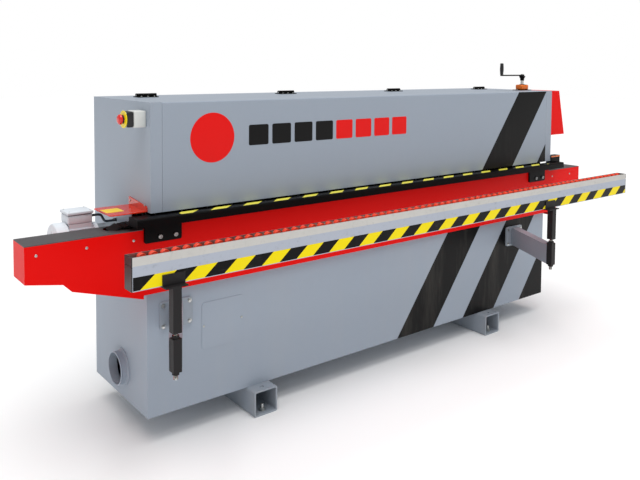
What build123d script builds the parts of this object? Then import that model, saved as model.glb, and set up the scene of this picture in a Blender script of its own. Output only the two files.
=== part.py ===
"""Edge banding machine: welded base, track beam with feed chain, hinged hood over the edge units,
pressure beam on a hand crank, and a roller rail on two height-adjustable posts.

Millimetres, +Z up, +X the feed direction, -Y the operator's side.
The origin is on the floor, in the middle of the machine's overall length and depth.
"""
import math
import os
from build123d import *

# ---- driving dimensions ------------------------------------------------------------------------
base_length = 2764
base_depth = 579
sheet = 4                       # wall of the base and hood panels
cover_sheet = 2.5               # wall of the red covers
infeed_reach = 488              # infeed box, ahead of the base
outfeed_reach = 371             # outfeed box, past the base
foot_height = 120
foot_width = 125
foot_wall = 8
foot_overhang = 66              # foot past the base, front and back
foot_from_end = 487             # left foot, from the base's left end
foot_spacing = 1628
anchor_radius = 9               # anchor holes in the feet
anchor_inset = 33

track_top = 940                 # work height: top of the chain pads
step_height = 650               # ledge of the base that the track beam stands on
step_depth = 121
bed_height = 890                # bed plate behind the track
hood_top = 1449
hood_bottom = 997               # lower edge of the hood's front
hood_overhang = 44              # hood front ahead of the base front
hood_throat = 150               # depth of the passage below the hood's ends
hinge_line = 400                # hinge axis behind the base front
lid_gap = 1                     # clearance between lid and hood frame
lid_left = 51                   # fixed strip of the hood at its left end
lid_right = 57                  # and at its right end

pad_width = 80                  # feed chain, across the feed
pad_thickness = 8
pad_pitch = 50
pad_gap = 4
chain_thickness = 14
chain_radius = 85               # outside of the pads on a sprocket
chain_front = 30                # front edge of the chain behind the base front
sprocket_gap = 0.5
sprocket_teeth = 14
drive_from_end = 75             # drive sprocket axis, left of the base
idler_from_end = 75             # idler axis, right of the base
shaft_radius = 15
running_gap = 0.05              # radial clearance of a shaft in its hole

beam_travel = 36                # pressure beam lift
crank_pitch = 4                 # lift for each turn of the crank
wheel_radius = 28
wheel_width = 24
wheel_spacing = 62
panel_gap = 10                  # lowest wheels above the chain
ledge_reach = 104               # nose of the pressure beam ahead of the base front
beam_stub = 84                  # pressure beam past the hood, left
beam_stub_right = 62            # and right

crank_from_end = 64             # crank axis, from the base's right end
crank_depth = 140               # crank axis behind the base front
crank_height = 94               # crank arm above the hood
crank_reach = 215
grip_length = 73
grip_radius = 12
spindle_radius = 10

rail_length = 3289
rail_overhang = 231             # rail's left end, ahead of the base
rail_setback = 14               # rail's front face behind the post axis
rail_depth = 60
rail_height = 90                # aluminium profile
channel_height = 32             # steel channel on top of it
rail_wall = 3
cross_wall = 0.6                # cross wall of the profile, as a share of its height
roller_radius = 15
roller_width = 22
roller_pitch = 45
roller_rise = 5                 # rollers above the channel
post_side = 34
post_reach = 410                # post axis, ahead of the base front
post_length = 168
arm_skew = 26.5                 # degrees, arms lean to the infeed side
arm_from_end = 130              # left arm's flange
arm_spacing = 2320
arm_height = 106
arm_width = 50
arm_base = 494                  # underside of the arms
block_height = 124
rod_radius = 9
rod_gap = 0.1

panel_width = 211               # service panel on the front
panel_height = 208
panel_left = 255
panel_base = 354
panel_corner = 14
panel_rim = 10
screw_radius = 5
screw_height = 3

dust_radius = 72.5              # dust outlet, outside
dust_wall = 3
dust_length = 35
dust_depth = 266
dust_height = 254

glue_from_end = 300             # edge units in working order, from the base's left end
shear_from_end = 430
press_from_end = 560
saw_from_end = 950
cutter_from_end = 1400
scraper_from_end = 1800
buff_from_end = 2150

motor_radius = 78
motor_depth = 258               # motor axis behind the base front
motor_length = 140
cowl_radius = 84
cowl_length = 40
cable_radius = 5.5

# ---- places that follow from them --------------------------------------------------------------
overall_length = infeed_reach + base_length + outfeed_reach
front_reach = post_reach + post_side / 2
overall_depth = front_reach + base_depth + foot_overhang
left = -overall_length / 2 + infeed_reach
right = left + base_length
front = -overall_depth / 2 + front_reach
back = front + base_depth
infeed_end = left - infeed_reach
outfeed_end = right + outfeed_reach
middle = (left + right) / 2
apron_left = left - 22
apron_right = right + 22
apron_face = front - 20
axle_height = track_top - chain_radius
drive_x = left - drive_from_end
idler_x = right + idler_from_end
chain_back = chain_front + pad_width
hood_face = front - hood_overhang
hinge_y = front + hinge_line
crank_x = right - crank_from_end
crank_y = front + crank_depth
wheel_axis = track_top + panel_gap + wheel_radius
rail_left = left - rail_overhang
rail_top = track_top - 10
rail_base = rail_top - channel_height - rail_height
rail_face = front - post_reach + rail_setback
rail_back = rail_face + rail_depth
post_y = front - post_reach
arm_shift = -post_reach * math.tan(math.radians(arm_skew))
arm_roots = [left + arm_from_end, left + arm_from_end + arm_spacing]
post_xs = [x + arm_shift for x in arm_roots]
block_base = arm_base - 4
post_top = rail_base - 5
post_bottom = post_top - post_length
motor_y = front + motor_depth
pass_line = front + step_depth + 2      # back edge of a panel on its way through

os.makedirs("parts", exist_ok=True)


def save(part, name):
    part.label = name
    export_step(part, f"parts/{name}.step")


def block(xs, ys, zs, mode=Mode.ADD):
    """A box between two x values, two y values and two z values."""
    centre = ((xs[0] + xs[1]) / 2, (ys[0] + ys[1]) / 2, (zs[0] + zs[1]) / 2)
    with Locations(centre):
        Box(xs[1] - xs[0], ys[1] - ys[0], zs[1] - zs[0], mode=mode)


TURNS = {"X": (0, 90, 0), "Y": (-90, 0, 0), "Z": (0, 0, 0)}


def rod(start, axis, radius, length, mode=Mode.ADD):
    """A cylinder that starts at a point and runs along +X, +Y or +Z."""
    with Locations(Location(start, TURNS[axis])):
        Cylinder(radius, length, align=(Align.CENTER, Align.CENTER, Align.MIN), mode=mode)


# ---- base --------------------------------------------------------------------------------------
cutter_x = left + cutter_from_end
buff_x = left + buff_from_end
trim_axis = pass_line + 40              # vertical trimming spindle
opening_half = 46
rear_panel_xs = [left + 750, left + 2014]
rear_panel_size = (900, 560)
rear_panel_z = 420

with BuildPart() as base_frame:
    with BuildSketch(Plane.YZ.offset(left)):
        with BuildLine():
            Polyline(
                (front, foot_height), (back, foot_height), (back, bed_height),
                (front + step_depth, bed_height), (front + step_depth, step_height),
                (front, step_height), close=True,
            )
        make_face()
    extrude(amount=base_length)
    with BuildSketch(Plane.YZ.offset(left + sheet)):
        with BuildLine():
            Polyline(
                (front, foot_height), (back, foot_height), (back, bed_height),
                (front + step_depth, bed_height), (front + step_depth, step_height),
                (front, step_height), close=True,
            )
        make_face()
        offset(amount=-sheet, kind=Kind.INTERSECTION, mode=Mode.REPLACE)
    extrude(amount=base_length - 2 * sheet, mode=Mode.SUBTRACT)
    # service opening on the front and two on the back, each behind a screwed panel
    block((left + panel_left + panel_rim, left + panel_left + panel_width - panel_rim),
          (front - 1, front + sheet + 1),
          (panel_base + panel_rim, panel_base + panel_height - panel_rim), Mode.SUBTRACT)
    for x in rear_panel_xs:
        block((x - rear_panel_size[0] / 2 + panel_rim, x + rear_panel_size[0] / 2 - panel_rim),
              (back - sheet - 1, back + 1),
              (rear_panel_z - rear_panel_size[1] / 2 + panel_rim,
               rear_panel_z + rear_panel_size[1] / 2 - panel_rim), Mode.SUBTRACT)
    # dust outlet hole in the left end
    rod((left - 1, front + dust_depth, dust_height), "X", dust_radius - dust_wall, sheet + 2,
        Mode.SUBTRACT)
    # bed openings for the lower trimming motor and the lower buffing wheel
    block((cutter_x - opening_half, cutter_x + opening_half),
          (front + step_depth + sheet, front + step_depth + 90),
          (bed_height - sheet - 1, bed_height + 1), Mode.SUBTRACT)
    block((buff_x - opening_half, buff_x + opening_half),
          (front + step_depth + sheet, front + step_depth + 174),
          (bed_height - sheet - 1, bed_height + 1), Mode.SUBTRACT)
    # lower bearing of the lifting spindle, on the edge of the bed
    block((crank_x - 30, crank_x + 30), (front + step_depth, front + step_depth + 70),
          (bed_height, bed_height + 25))
    rod((crank_x, crank_y, bed_height + 5), "Z", spindle_radius + running_gap, 21, Mode.SUBTRACT)
save(base_frame.part, "base_frame")

foot_xs = [left + foot_from_end + foot_width / 2,
           left + foot_from_end + foot_width / 2 + foot_spacing]
foot_front = front - foot_overhang
foot_back = back + foot_overhang
anchor_ys = [foot_front + anchor_inset, foot_back - anchor_inset]

with BuildPart() as feet:
    with BuildSketch(Plane.XZ.offset(-foot_back)):
        with Locations(*[(x, foot_height / 2) for x in foot_xs]):
            RectangleRounded(foot_width, foot_height, 10)
            RectangleRounded(foot_width - 2 * foot_wall, foot_height - 2 * foot_wall, 4,
                             mode=Mode.SUBTRACT)
    extrude(amount=foot_back - foot_front)
    for x in foot_xs:
        for y in anchor_ys:
            rod((x, y, -1), "Z", anchor_radius, foot_height + 2, Mode.SUBTRACT)
save(feet.part, "feet")

with BuildPart() as access_panels:
    with BuildSketch(Plane.XZ.offset(-front)):
        with Locations((left + panel_left + panel_width / 2, panel_base + panel_height / 2)):
            RectangleRounded(panel_width, panel_height, panel_corner)
    extrude(amount=2)
    with BuildSketch(Plane.XZ.offset(-back - 2)):
        with Locations(*[(x, rear_panel_z) for x in rear_panel_xs]):
            RectangleRounded(*rear_panel_size, panel_corner)
    extrude(amount=2)
save(access_panels.part, "access_panels")

with BuildPart() as dust_outlet:
    rod((left - dust_length, front + dust_depth, dust_height), "X", dust_radius, dust_length)
    rod((left - 3, front + dust_depth, dust_height), "X", dust_radius + 12, 3)
    rod((left - dust_length - 1, front + dust_depth, dust_height), "X",
        dust_radius - dust_wall, dust_length + 2, Mode.SUBTRACT)
save(dust_outlet.part, "dust_outlet")

# ---- track beam and its covers -----------------------------------------------------------------
beam_wall = 6
beam_depth = 119
beam_top = 905
beam_left = infeed_end + 18
beam_right = outfeed_end - 18
upper_base = 800                # underside of the beam's upper part, outside the base
rail_bar_top = axle_height + chain_radius - pad_thickness - chain_thickness - 0.3
rib_xs = [left + 160 + i * 407 for i in range(7)]

with BuildPart() as track_beam:
    with BuildSketch(Plane.YZ.offset(beam_left)):
        with BuildLine():
            Polyline(
                (front, step_height), (front + beam_depth, step_height),
                (front + beam_depth, beam_top), (front + beam_depth - beam_wall, beam_top),
                (front + beam_depth - beam_wall, step_height + beam_wall),
                (front + beam_wall, step_height + beam_wall), (front + beam_wall, beam_top),
                (front, beam_top), close=True,
            )
        make_face()
    extrude(amount=beam_right - beam_left)
    # outside the base only the upper part of the walls goes on
    block((beam_left - 1, apron_left + 4), (front - 1, front + beam_depth + 1),
          (step_height - 1, upper_base), Mode.SUBTRACT)
    block((apron_right - 4, beam_right + 1), (front - 1, front + beam_depth + 1),
          (step_height - 1, upper_base), Mode.SUBTRACT)
    for x in (beam_left, beam_right - beam_wall):
        block((x, x + beam_wall), (front, front + beam_depth), (upper_base, beam_top))
    # cross ribs and the bar that the chain's upper run slides on
    for x in rib_xs:
        block((x, x + beam_wall), (front, front + beam_depth), (upper_base, beam_top - 6))
    block((rib_xs[0] - 120, rib_xs[-1] + 120), (front + 50, front + 90),
          (beam_top - 6, rail_bar_top))
    # shaft holes
    rod((drive_x, front - 1, axle_height), "Y", shaft_radius + running_gap, beam_depth + 2,
        Mode.SUBTRACT)
    rod((idler_x, front - 1, axle_height), "Y", shaft_radius, beam_depth + 2, Mode.SUBTRACT)
save(track_beam.part, "track_beam")

apron_base = 656
apron_top = 935

with BuildPart() as front_apron:
    with BuildSketch(Plane.YZ.offset(apron_left)):
        with BuildLine():
            Polyline(
                (front, apron_base), (apron_face, apron_base), (apron_face, apron_top),
                (front - 2, apron_top), (front - 2, apron_top - cover_sheet),
                (apron_face + cover_sheet, apron_top - cover_sheet),
                (apron_face + cover_sheet, apron_base + cover_sheet),
                (front, apron_base + cover_sheet), close=True,
            )
        make_face()
    extrude(amount=apron_right - apron_left)
save(front_apron.part, "front_apron")

cover_back = front + 125
plate_top = 930
plate_thickness = 3
infeed_outline = [
    (apron_left, plate_top - plate_thickness), (infeed_end, plate_top - plate_thickness),
    (infeed_end, 786), (infeed_end + 142, 761), (infeed_end + 174, 728), (apron_left, 640),
]
outfeed_outline = [
    (apron_right, plate_top - plate_thickness), (outfeed_end, plate_top - plate_thickness),
    (outfeed_end, 786), (outfeed_end - 105, 761), (outfeed_end - 130, 728), (apron_right, 640),
]


def end_cover(outline):
    """Folded box of one outline, open at the top and at the end that meets the apron."""
    open_end, closed_end = outline[0][0], outline[1][0]
    inward = math.copysign(cover_sheet, open_end - closed_end)
    with BuildPart() as cover:
        with BuildSketch(Plane.XZ.offset(-cover_back)):
            with BuildLine():
                Polyline(*outline, close=True)
            make_face()
        extrude(amount=cover_back - apron_face)
        with BuildSketch(Plane.XZ.offset(-cover_back + cover_sheet)):
            with BuildLine():
                Polyline(*outline, close=True)
            make_face()
            offset(amount=-cover_sheet, kind=Kind.INTERSECTION, mode=Mode.REPLACE)
        extrude(amount=cover_back - apron_face - 2 * cover_sheet, mode=Mode.SUBTRACT)
        inside = (apron_face + cover_sheet, cover_back - cover_sheet)
        block(sorted((closed_end + inward, open_end)), inside,
              (plate_top - plate_thickness - 10, plate_top), Mode.SUBTRACT)
        block(sorted((open_end - inward, open_end)), inside,
              (outline[-1][1] + cover_sheet, plate_top), Mode.SUBTRACT)
    return cover.part


with BuildPart() as end_covers:
    add(end_cover(infeed_outline))
    add(end_cover(outfeed_outline))
    # hole for the drive shaft
    rod((drive_x, cover_back - cover_sheet - 1, axle_height), "Y", shaft_radius + 3, cover_sheet + 2,
        Mode.SUBTRACT)
save(end_covers.part, "end_covers")

slot_half = pad_width / 2 + 4
slot_y = front + (chain_front + chain_back) / 2
slot_tip = 80                   # end of the slot past the sprocket axis

with BuildPart() as track_top_plates:
    with BuildSketch(Plane.XY.offset(plate_top - plate_thickness)):
        with Locations(((infeed_end + apron_left) / 2, (apron_face + cover_back) / 2)):
            RectangleRounded(apron_left - infeed_end, cover_back - apron_face, 2)
        with Locations(((outfeed_end + apron_right) / 2, (apron_face + cover_back) / 2)):
            RectangleRounded(outfeed_end - apron_right, cover_back - apron_face, 2)
        # slots that the chain rises and sinks through, with rounded tips
        for tip, root in ((drive_x - slot_tip, apron_left + 1), (idler_x + slot_tip, apron_right - 1)):
            inward = math.copysign(slot_half, root - tip)
            with Locations(((tip + inward + root) / 2, slot_y)):
                Rectangle(abs(root - tip - inward), 2 * slot_half, mode=Mode.SUBTRACT)
            with Locations((tip + inward, slot_y)):
                Circle(slot_half, mode=Mode.SUBTRACT)
    extrude(amount=plate_thickness)
save(track_top_plates.part, "track_top_plates")

bracket_spans = [(left - 21, left + 145), (left + 2567, left + 2731)]
bracket_base = 872
bracket_face = apron_face - 10
bracket_screw_inset = 28

with BuildPart() as track_brackets:
    for span in bracket_spans:
        block(span, (bracket_face, apron_face), (bracket_base, track_top - 4))
        block(span, (bracket_face, front + chain_front - 3), (apron_top, track_top - 1))
    fillet(track_brackets.edges().filter_by(Axis.Y).group_by(Axis.Z)[0], radius=8)
save(track_brackets.part, "track_brackets")

# ---- feed chain --------------------------------------------------------------------------------
run_length = idler_x - drive_x
link_radius = chain_radius - pad_thickness
inner_radius = link_radius - chain_thickness
pad_count = int((run_length - 20) // pad_pitch)
pad_margin = (run_length - pad_count * pad_pitch) / 2

with BuildPart() as feed_chain:
    with BuildSketch(Plane.XZ.offset(-front - chain_back + 10)):
        with Locations(((drive_x + idler_x) / 2, axle_height)):
            SlotCenterToCenter(run_length, 2 * link_radius)
            SlotCenterToCenter(run_length, 2 * inner_radius, mode=Mode.SUBTRACT)
    extrude(amount=pad_width - 20)
save(feed_chain.part, "feed_chain")

pad_step = 180 * (pad_pitch / (math.pi * chain_radius))
turn_pads = int(180 // pad_step)

with BuildPart() as chain_pads:
    for i in range(pad_count):
        x = drive_x + pad_margin + i * pad_pitch
        for z in (axle_height + link_radius, axle_height - chain_radius):
            block((x + pad_gap / 2, x + pad_pitch - pad_gap / 2),
                  (front + chain_front, front + chain_back), (z, z + pad_thickness))
    for x, start in ((drive_x, 90), (idler_x, -90)):
        for i in range(turn_pads):
            angle = start + 90 + (i - (turn_pads - 1) / 2) * 180 / turn_pads
            here = Location((x, slot_y, axle_height), (0, -angle, 0))
            with Locations(here * Location((link_radius + 5, 0, 0))):
                Box(pad_thickness + 2, pad_width, pad_pitch - 18)
save(chain_pads.part, "chain_pads")


def sprocket(x, bore):
    """Chain wheel with rounded tooth gaps, across the feed."""
    radius = inner_radius - sprocket_gap
    with BuildPart() as wheel:
        with BuildSketch(Plane.XZ.offset(-slot_y - 12)):
            with Locations((x, axle_height)):
                Circle(radius)
                with PolarLocations(radius + 3, sprocket_teeth):
                    Circle(7, mode=Mode.SUBTRACT)
        extrude(amount=24)
        rod((x, slot_y - 25, axle_height), "Y", 30, 50)
        rod((x, slot_y - 26, axle_height), "Y", bore, 52, Mode.SUBTRACT)
    return wheel.part


save(sprocket(drive_x, shaft_radius), "drive_sprocket")

gearbox_front = motor_y - 80
with BuildPart() as drive_shaft:
    rod((drive_x, front - 6, axle_height), "Y", shaft_radius, gearbox_front - front + 36)
save(drive_shaft.part, "drive_shaft")

save(sprocket(idler_x, shaft_radius + running_gap), "idler_sprocket")

with BuildPart() as idler_axle:
    rod((idler_x, front - 6, axle_height), "Y", shaft_radius, beam_depth + 8)
save(idler_axle.part, "idler_axle")

# ---- feed motor --------------------------------------------------------------------------------
gearbox_left = drive_x - 45
gearbox_right = left
motor_left = gearbox_left - motor_length
cowl_left = motor_left - cowl_length
gearbox_half = 48               # gearbox body behind the motor axis
gearbox_rise = 52               # and above it
fin_count = 36

with BuildPart() as feed_gearbox:
    block((gearbox_left, gearbox_right - 12), (gearbox_front, motor_y + gearbox_half),
          (axle_height - gearbox_rise, axle_height + gearbox_rise))
    fillet(feed_gearbox.edges().filter_by(Axis.X), radius=12)
    block((gearbox_right - 12, gearbox_right), (gearbox_front + 8, motor_y + gearbox_half),
          (axle_height - 88, axle_height + 20))
    # quill that carries the shaft to the back of the beam
    rod((drive_x, cover_back, axle_height), "Y", 36, gearbox_front - cover_back)
    rod((drive_x, cover_back - 1, axle_height), "Y", shaft_radius + running_gap,
        gearbox_front - cover_back + 42, Mode.SUBTRACT)
save(feed_gearbox.part, "feed_gearbox")

with BuildPart() as feed_motor:
    rod((motor_left, motor_y, axle_height), "X", motor_radius - 9, gearbox_left - motor_left)
    rod((gearbox_left - 12, motor_y, axle_height), "X", 70, 12)
    with BuildSketch(Plane.YZ.offset(motor_left + 12)):
        with Locations((motor_y, axle_height)):
            with PolarLocations(motor_radius - 6, fin_count):
                Rectangle(13, 3)
    extrude(amount=gearbox_left - motor_left - 30)
    # flat that the terminal box sits on
    block((motor_left + 15, motor_left + 110), (motor_y - 45, motor_y + 45),
          (axle_height + 50, axle_height + motor_radius + 2))
    rod((motor_left - 1, motor_y, axle_height), "X", 10 + running_gap, 31, Mode.SUBTRACT)
save(feed_motor.part, "feed_motor")

with BuildPart() as motor_cowl:
    rod((cowl_left, motor_y, axle_height), "X", cowl_radius, motor_left - cowl_left + 10)
    fillet(motor_cowl.edges().group_by(Axis.X)[0], radius=8)
    rod((cowl_left + 5, motor_y, axle_height), "X", cowl_radius - 3, motor_left - cowl_left + 20,
        Mode.SUBTRACT)
    with BuildSketch(Plane.YZ.offset(cowl_left - 1)):
        with Locations((motor_y, axle_height)):
            with PolarLocations(34, 10):
                SlotOverall(36, 7)
    extrude(amount=8, mode=Mode.SUBTRACT)
    # clips that hold the cowl on the motor body
    for y in (-1, 1):
        block((motor_left + 1, motor_left + 10),
              sorted((motor_y + y * (motor_radius - 8.7), motor_y + y * (cowl_radius - 2))),
              (axle_height - 5, axle_height + 5))
save(motor_cowl.part, "motor_cowl")

with BuildPart() as motor_fan:
    rod((cowl_left + 8, motor_y, axle_height), "X", 10, motor_left - cowl_left + 20)
    rod((cowl_left + 10, motor_y, axle_height), "X", 24, 22)
    with BuildSketch(Plane.YZ.offset(cowl_left + 11)):
        with Locations((motor_y, axle_height)):
            with PolarLocations(44, 8):
                Rectangle(50, 3)
    extrude(amount=20)
save(motor_fan.part, "motor_fan")

box_base = axle_height + motor_radius + 2
box_left = motor_left + 7
box_right = motor_left + 117

with BuildPart() as terminal_box:
    block((box_left + 4, box_right - 4), (motor_y - 46, motor_y + 46), (box_base, box_base + 38))
    fillet(terminal_box.edges().filter_by(Axis.Z), radius=8)
    with BuildSketch(Plane.XY.offset(box_base + 38)):
        with Locations(((box_left + box_right) / 2, motor_y)):
            RectangleRounded(box_right - box_left, 100, 10)
    extrude(amount=14)
save(terminal_box.part, "terminal_box")

# cable from the terminal box to the base's left end
gland_length = 14
cable_start = (box_right - 4 + gland_length, motor_y, box_base + 20)
cable_end = (left - gland_length, motor_y + gearbox_half + 16, bed_height + 16)
cable_points = [
    cable_start,
    (cable_start[0] + 38, motor_y, cable_start[2]),
    (cable_end[0] - 38, cable_end[1], cable_end[2]),
    cable_end,
]


def bend_radii(points):
    """Largest arc at each corner that leaves a little of both runs straight."""
    radii = []
    for a, b, c in zip(points, points[1:], points[2:]):
        first = Vector(b) - Vector(a)
        second = Vector(c) - Vector(b)
        half_turn = math.radians(first.get_angle(second)) / 2
        radii.append(0.45 * min(first.length, second.length) / math.tan(half_turn))
    return radii


print("cable radii", [round(r, 1) for r in bend_radii(cable_points)])

with BuildPart() as motor_cable:
    with BuildLine() as cable_path:
        FilletPolyline(*cable_points, radius=bend_radii(cable_points))
    with BuildSketch(Plane(origin=cable_start, z_dir=(1, 0, 0))):
        Circle(cable_radius)
    sweep()
save(motor_cable.part, "motor_cable")

with BuildPart() as cable_glands:
    rod((box_right - 4, motor_y, box_base + 20), "X", 10, gland_length)
    rod(cable_end, "X", 10, gland_length)
save(cable_glands.part, "cable_glands")

# ---- hood --------------------------------------------------------------------------------------
bay_left = crank_x - crank_reach - 36    # fixed plate around the crank
bay_front = hood_face + 32
bay_back = front + 300
lid_start = left + lid_left
lid_end = right - lid_right

with BuildPart() as hood_frame:
    block((left, right), (hood_face, back), (bed_height, hood_top))
    block((left + sheet, right - sheet), (hood_face + sheet, back - sheet),
          (bed_height - 1, hood_top - sheet), Mode.SUBTRACT)
    # passage for the panels below the hood
    block((left - 1, right + 1), (hood_face - 1, front + hood_throat),
          (bed_height - 1, hood_bottom), Mode.SUBTRACT)
    # the part that the lid closes, with the crank's plate left standing
    block((lid_start, lid_end), (hood_face - 1, bay_front), (bed_height - 1, hood_top + 1),
          Mode.SUBTRACT)
    block((lid_start, bay_left), (hood_face - 1, hinge_y), (bed_height - 1, hood_top + 1),
          Mode.SUBTRACT)
    block((bay_left - 1, lid_end), (bay_back, hinge_y), (hood_top - sheet - 1, hood_top + 1),
          Mode.SUBTRACT)
    # stiffening lips below the crank's plate
    block((bay_left, bay_left + sheet), (bay_front, bay_back), (hood_top - 40, hood_top))
    block((bay_left, right), (bay_back - sheet, bay_back), (hood_top - 40, hood_top))
    rod((crank_x, crank_y, hood_top - sheet - 1), "Z", spindle_radius + running_gap, sheet + 2,
        Mode.SUBTRACT)
save(hood_frame.part, "hood_frame")

bend = 6
lid_sheet = 3

with BuildPart() as hood_lid:
    with BuildSketch(Plane.YZ.offset(lid_start + lid_gap)):
        with BuildLine():
            Polyline(
                (hinge_y - lid_gap, hood_top - lid_sheet), (hinge_y - lid_gap, hood_top),
                (hood_face, hood_top), (hood_face, hood_bottom),
                (hood_face + lid_sheet, hood_bottom), (hood_face + lid_sheet, hood_top - lid_sheet),
                close=True,
            )
        make_face()
    extrude(amount=lid_end - lid_start - 2 * lid_gap)
    outer = hood_lid.edges().filter_by(Axis.X).filter_by_position(Axis.Y, hood_face - 1, hood_face + 1)
    fillet(outer.sort_by(Axis.Z)[-1], radius=bend)
    # notch for the crank's plate
    block((bay_left - lid_gap, lid_end + 1), (bay_front - lid_gap, bay_back + lid_gap),
          (hood_top - 60, hood_top + 1), Mode.SUBTRACT)
    # folded edges at both ends of the front
    for x in (lid_start + lid_gap, lid_end - lid_gap - lid_sheet):
        block((x, x + lid_sheet), (hood_face + lid_sheet, hood_face + 24),
              (hood_bottom, hood_top - lid_sheet))
save(hood_lid.part, "hood_lid")

hinge_xs = [left + 182 + i * 800 for i in range(4)]
hinge_width = 100
hinge_radius = 9
hinge_pin = 4
hinge_z = hood_top + hinge_radius
leaf_depth = 30
knuckle = hinge_width / 3


def leaf(x, side, spans):
    """Flat leaf on one side of the pin with knuckles over the given x spans."""
    near = hinge_y + side * (hinge_radius + 1)
    far = hinge_y + side * leaf_depth
    block((x - hinge_width / 2, x + hinge_width / 2), sorted((near, far)), (hood_top, hood_top + 4))
    for x0, x1 in spans:
        block((x0, x1), sorted((hinge_y, near)), (hood_top, hood_top + 4))
        rod((x0, hinge_y, hinge_z), "X", hinge_radius, x1 - x0)
        rod((x0 - 1, hinge_y, hinge_z), "X", hinge_pin + running_gap, x1 - x0 + 2, Mode.SUBTRACT)


with BuildPart() as hinge_fixed_leaves:
    for x in hinge_xs:
        leaf(x, 1, [(x - knuckle / 2, x + knuckle / 2)])
save(hinge_fixed_leaves.part, "hinge_fixed_leaves")

with BuildPart() as hinge_lid_leaves:
    for x in hinge_xs:
        leaf(x, -1, [(x - hinge_width / 2, x - knuckle / 2 - 0.5),
                     (x + knuckle / 2 + 0.5, x + hinge_width / 2)])
save(hinge_lid_leaves.part, "hinge_lid_leaves")

with BuildPart() as hinge_pins:
    for x in hinge_xs:
        rod((x - hinge_width / 2, hinge_y, hinge_z), "X", hinge_pin, hinge_width)
save(hinge_pins.part, "hinge_pins")

# ---- emergency stop, guard and console ---------------------------------------------------------
stop_y = front + 28
stop_z = 1380
stop_side = 70
stop_depth = 82
stop_travel = 5

with BuildPart() as estop_box:
    with BuildSketch(Plane.YZ.offset(left - stop_depth)):
        with Locations((stop_y, stop_z)):
            RectangleRounded(stop_side, stop_side, 6)
    extrude(amount=stop_depth)
    rod((left - stop_depth - 4, stop_y, stop_z), "X", 36, 4)
    rod((left - stop_depth - 5, stop_y, stop_z), "X", 11.3, 41, Mode.SUBTRACT)
save(estop_box.part, "estop_box")

with BuildPart() as estop_button:
    rod((left - stop_depth - 4 - stop_travel - 17, stop_y, stop_z), "X", 21, 16)
    fillet(estop_button.edges().group_by(Axis.X)[0], radius=7)
    rod((left - stop_depth - 4 - stop_travel - 2, stop_y, stop_z), "X", 11, 34)
save(estop_button.part, "estop_button")

guard_sheet = 5
guard_reach = 160
guard_depths = (front - 14, front + 168)

with BuildPart() as infeed_guard:
    block((left - guard_sheet, left), guard_depths, (hood_bottom + 1, hood_bottom + 40))
    block((left - guard_reach, left - guard_sheet), guard_depths,
          (hood_bottom + 1, hood_bottom + 1 + guard_sheet))
    fillet(infeed_guard.edges().filter_by(Axis.Z).group_by(Axis.X)[0], radius=12)
save(infeed_guard.part, "infeed_guard")

console_top = 80
console_foot = 146
console_base = 1165
console_depth = 300
console_sheet = 3
console_slope = math.degrees(math.atan((console_foot - console_top) / (hood_top - console_base)))
button_travel = 3
button_radius = 11
button_heights = {"start_button": 1235, "stop_button": 1235}
button_depths = {"start_button": hood_face + 90, "stop_button": hood_face + 150}


def slope_plane(y, z):
    """Plane on the console's sloping face, at one depth and height, facing the operator's right."""
    x = right + console_foot - (z - console_base) * math.tan(math.radians(console_slope))
    tilt = math.radians(console_slope)
    return Plane(origin=(x, y, z), x_dir=(0, 1, 0), z_dir=(math.cos(tilt), 0, math.sin(tilt)))


with BuildPart() as control_console:
    with BuildSketch(Plane.XZ.offset(-hood_face - console_depth)):
        with BuildLine():
            Polyline(
                (right, hood_top), (right + console_top, hood_top),
                (right + console_foot, console_base), (right, console_base), close=True,
            )
        make_face()
    extrude(amount=console_depth)
    fillet(control_console.edges().group_by(Axis.X)[-1].filter_by(Axis.Y), radius=4)
    # hollow, open towards the hood
    with BuildSketch(Plane.XZ.offset(-hood_face - console_depth + console_sheet)):
        with BuildLine():
            Polyline(
                (right, hood_top - console_sheet),
                (right + console_top - console_sheet, hood_top - console_sheet),
                (right + console_foot - console_sheet - 1, console_base + console_sheet),
                (right, console_base + console_sheet), close=True,
            )
        make_face()
    extrude(amount=console_depth - 2 * console_sheet, mode=Mode.SUBTRACT)
    for name in button_heights:
        with BuildSketch(slope_plane(button_depths[name], button_heights[name])):
            Circle(button_radius + 0.3)
        extrude(amount=-16, mode=Mode.SUBTRACT)
save(control_console.part, "control_console")

with BuildPart() as console_panel:
    with BuildSketch(slope_plane(hood_face + console_depth / 2, 1350)):
        RectangleRounded(180, 110, 6)
    extrude(amount=4)
save(console_panel.part, "console_panel")

with BuildPart() as start_button:
    with BuildSketch(slope_plane(button_depths["start_button"], button_heights["start_button"])):
        Circle(button_radius)
    extrude(amount=6)
    extrude(start_button.faces().sort_by(Axis.X)[0], amount=10)
save(start_button.part, "start_button")

with BuildPart() as stop_button:
    with BuildSketch(slope_plane(button_depths["stop_button"], button_heights["stop_button"])):
        Circle(button_radius)
    extrude(amount=6)
    extrude(stop_button.faces().sort_by(Axis.X)[0], amount=10)
save(stop_button.part, "stop_button")

# ---- pressure beam and crank -------------------------------------------------------------------
ledge_top = 990
ledge_base = 955
web_top = ledge_base + 4
slot_front = hood_face - 6      # hood front passes between the ledge and the inner plates
inner_left = left + 10
inner_right = right - 10
plate_front = front + 24
plate_back = front + 117
inner_top = 1016
inner_wall = 4

ledge_sheet = 3
stop_block_reach = 96           # block on the outfeed end of the beam
stop_block_top = 1030

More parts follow.
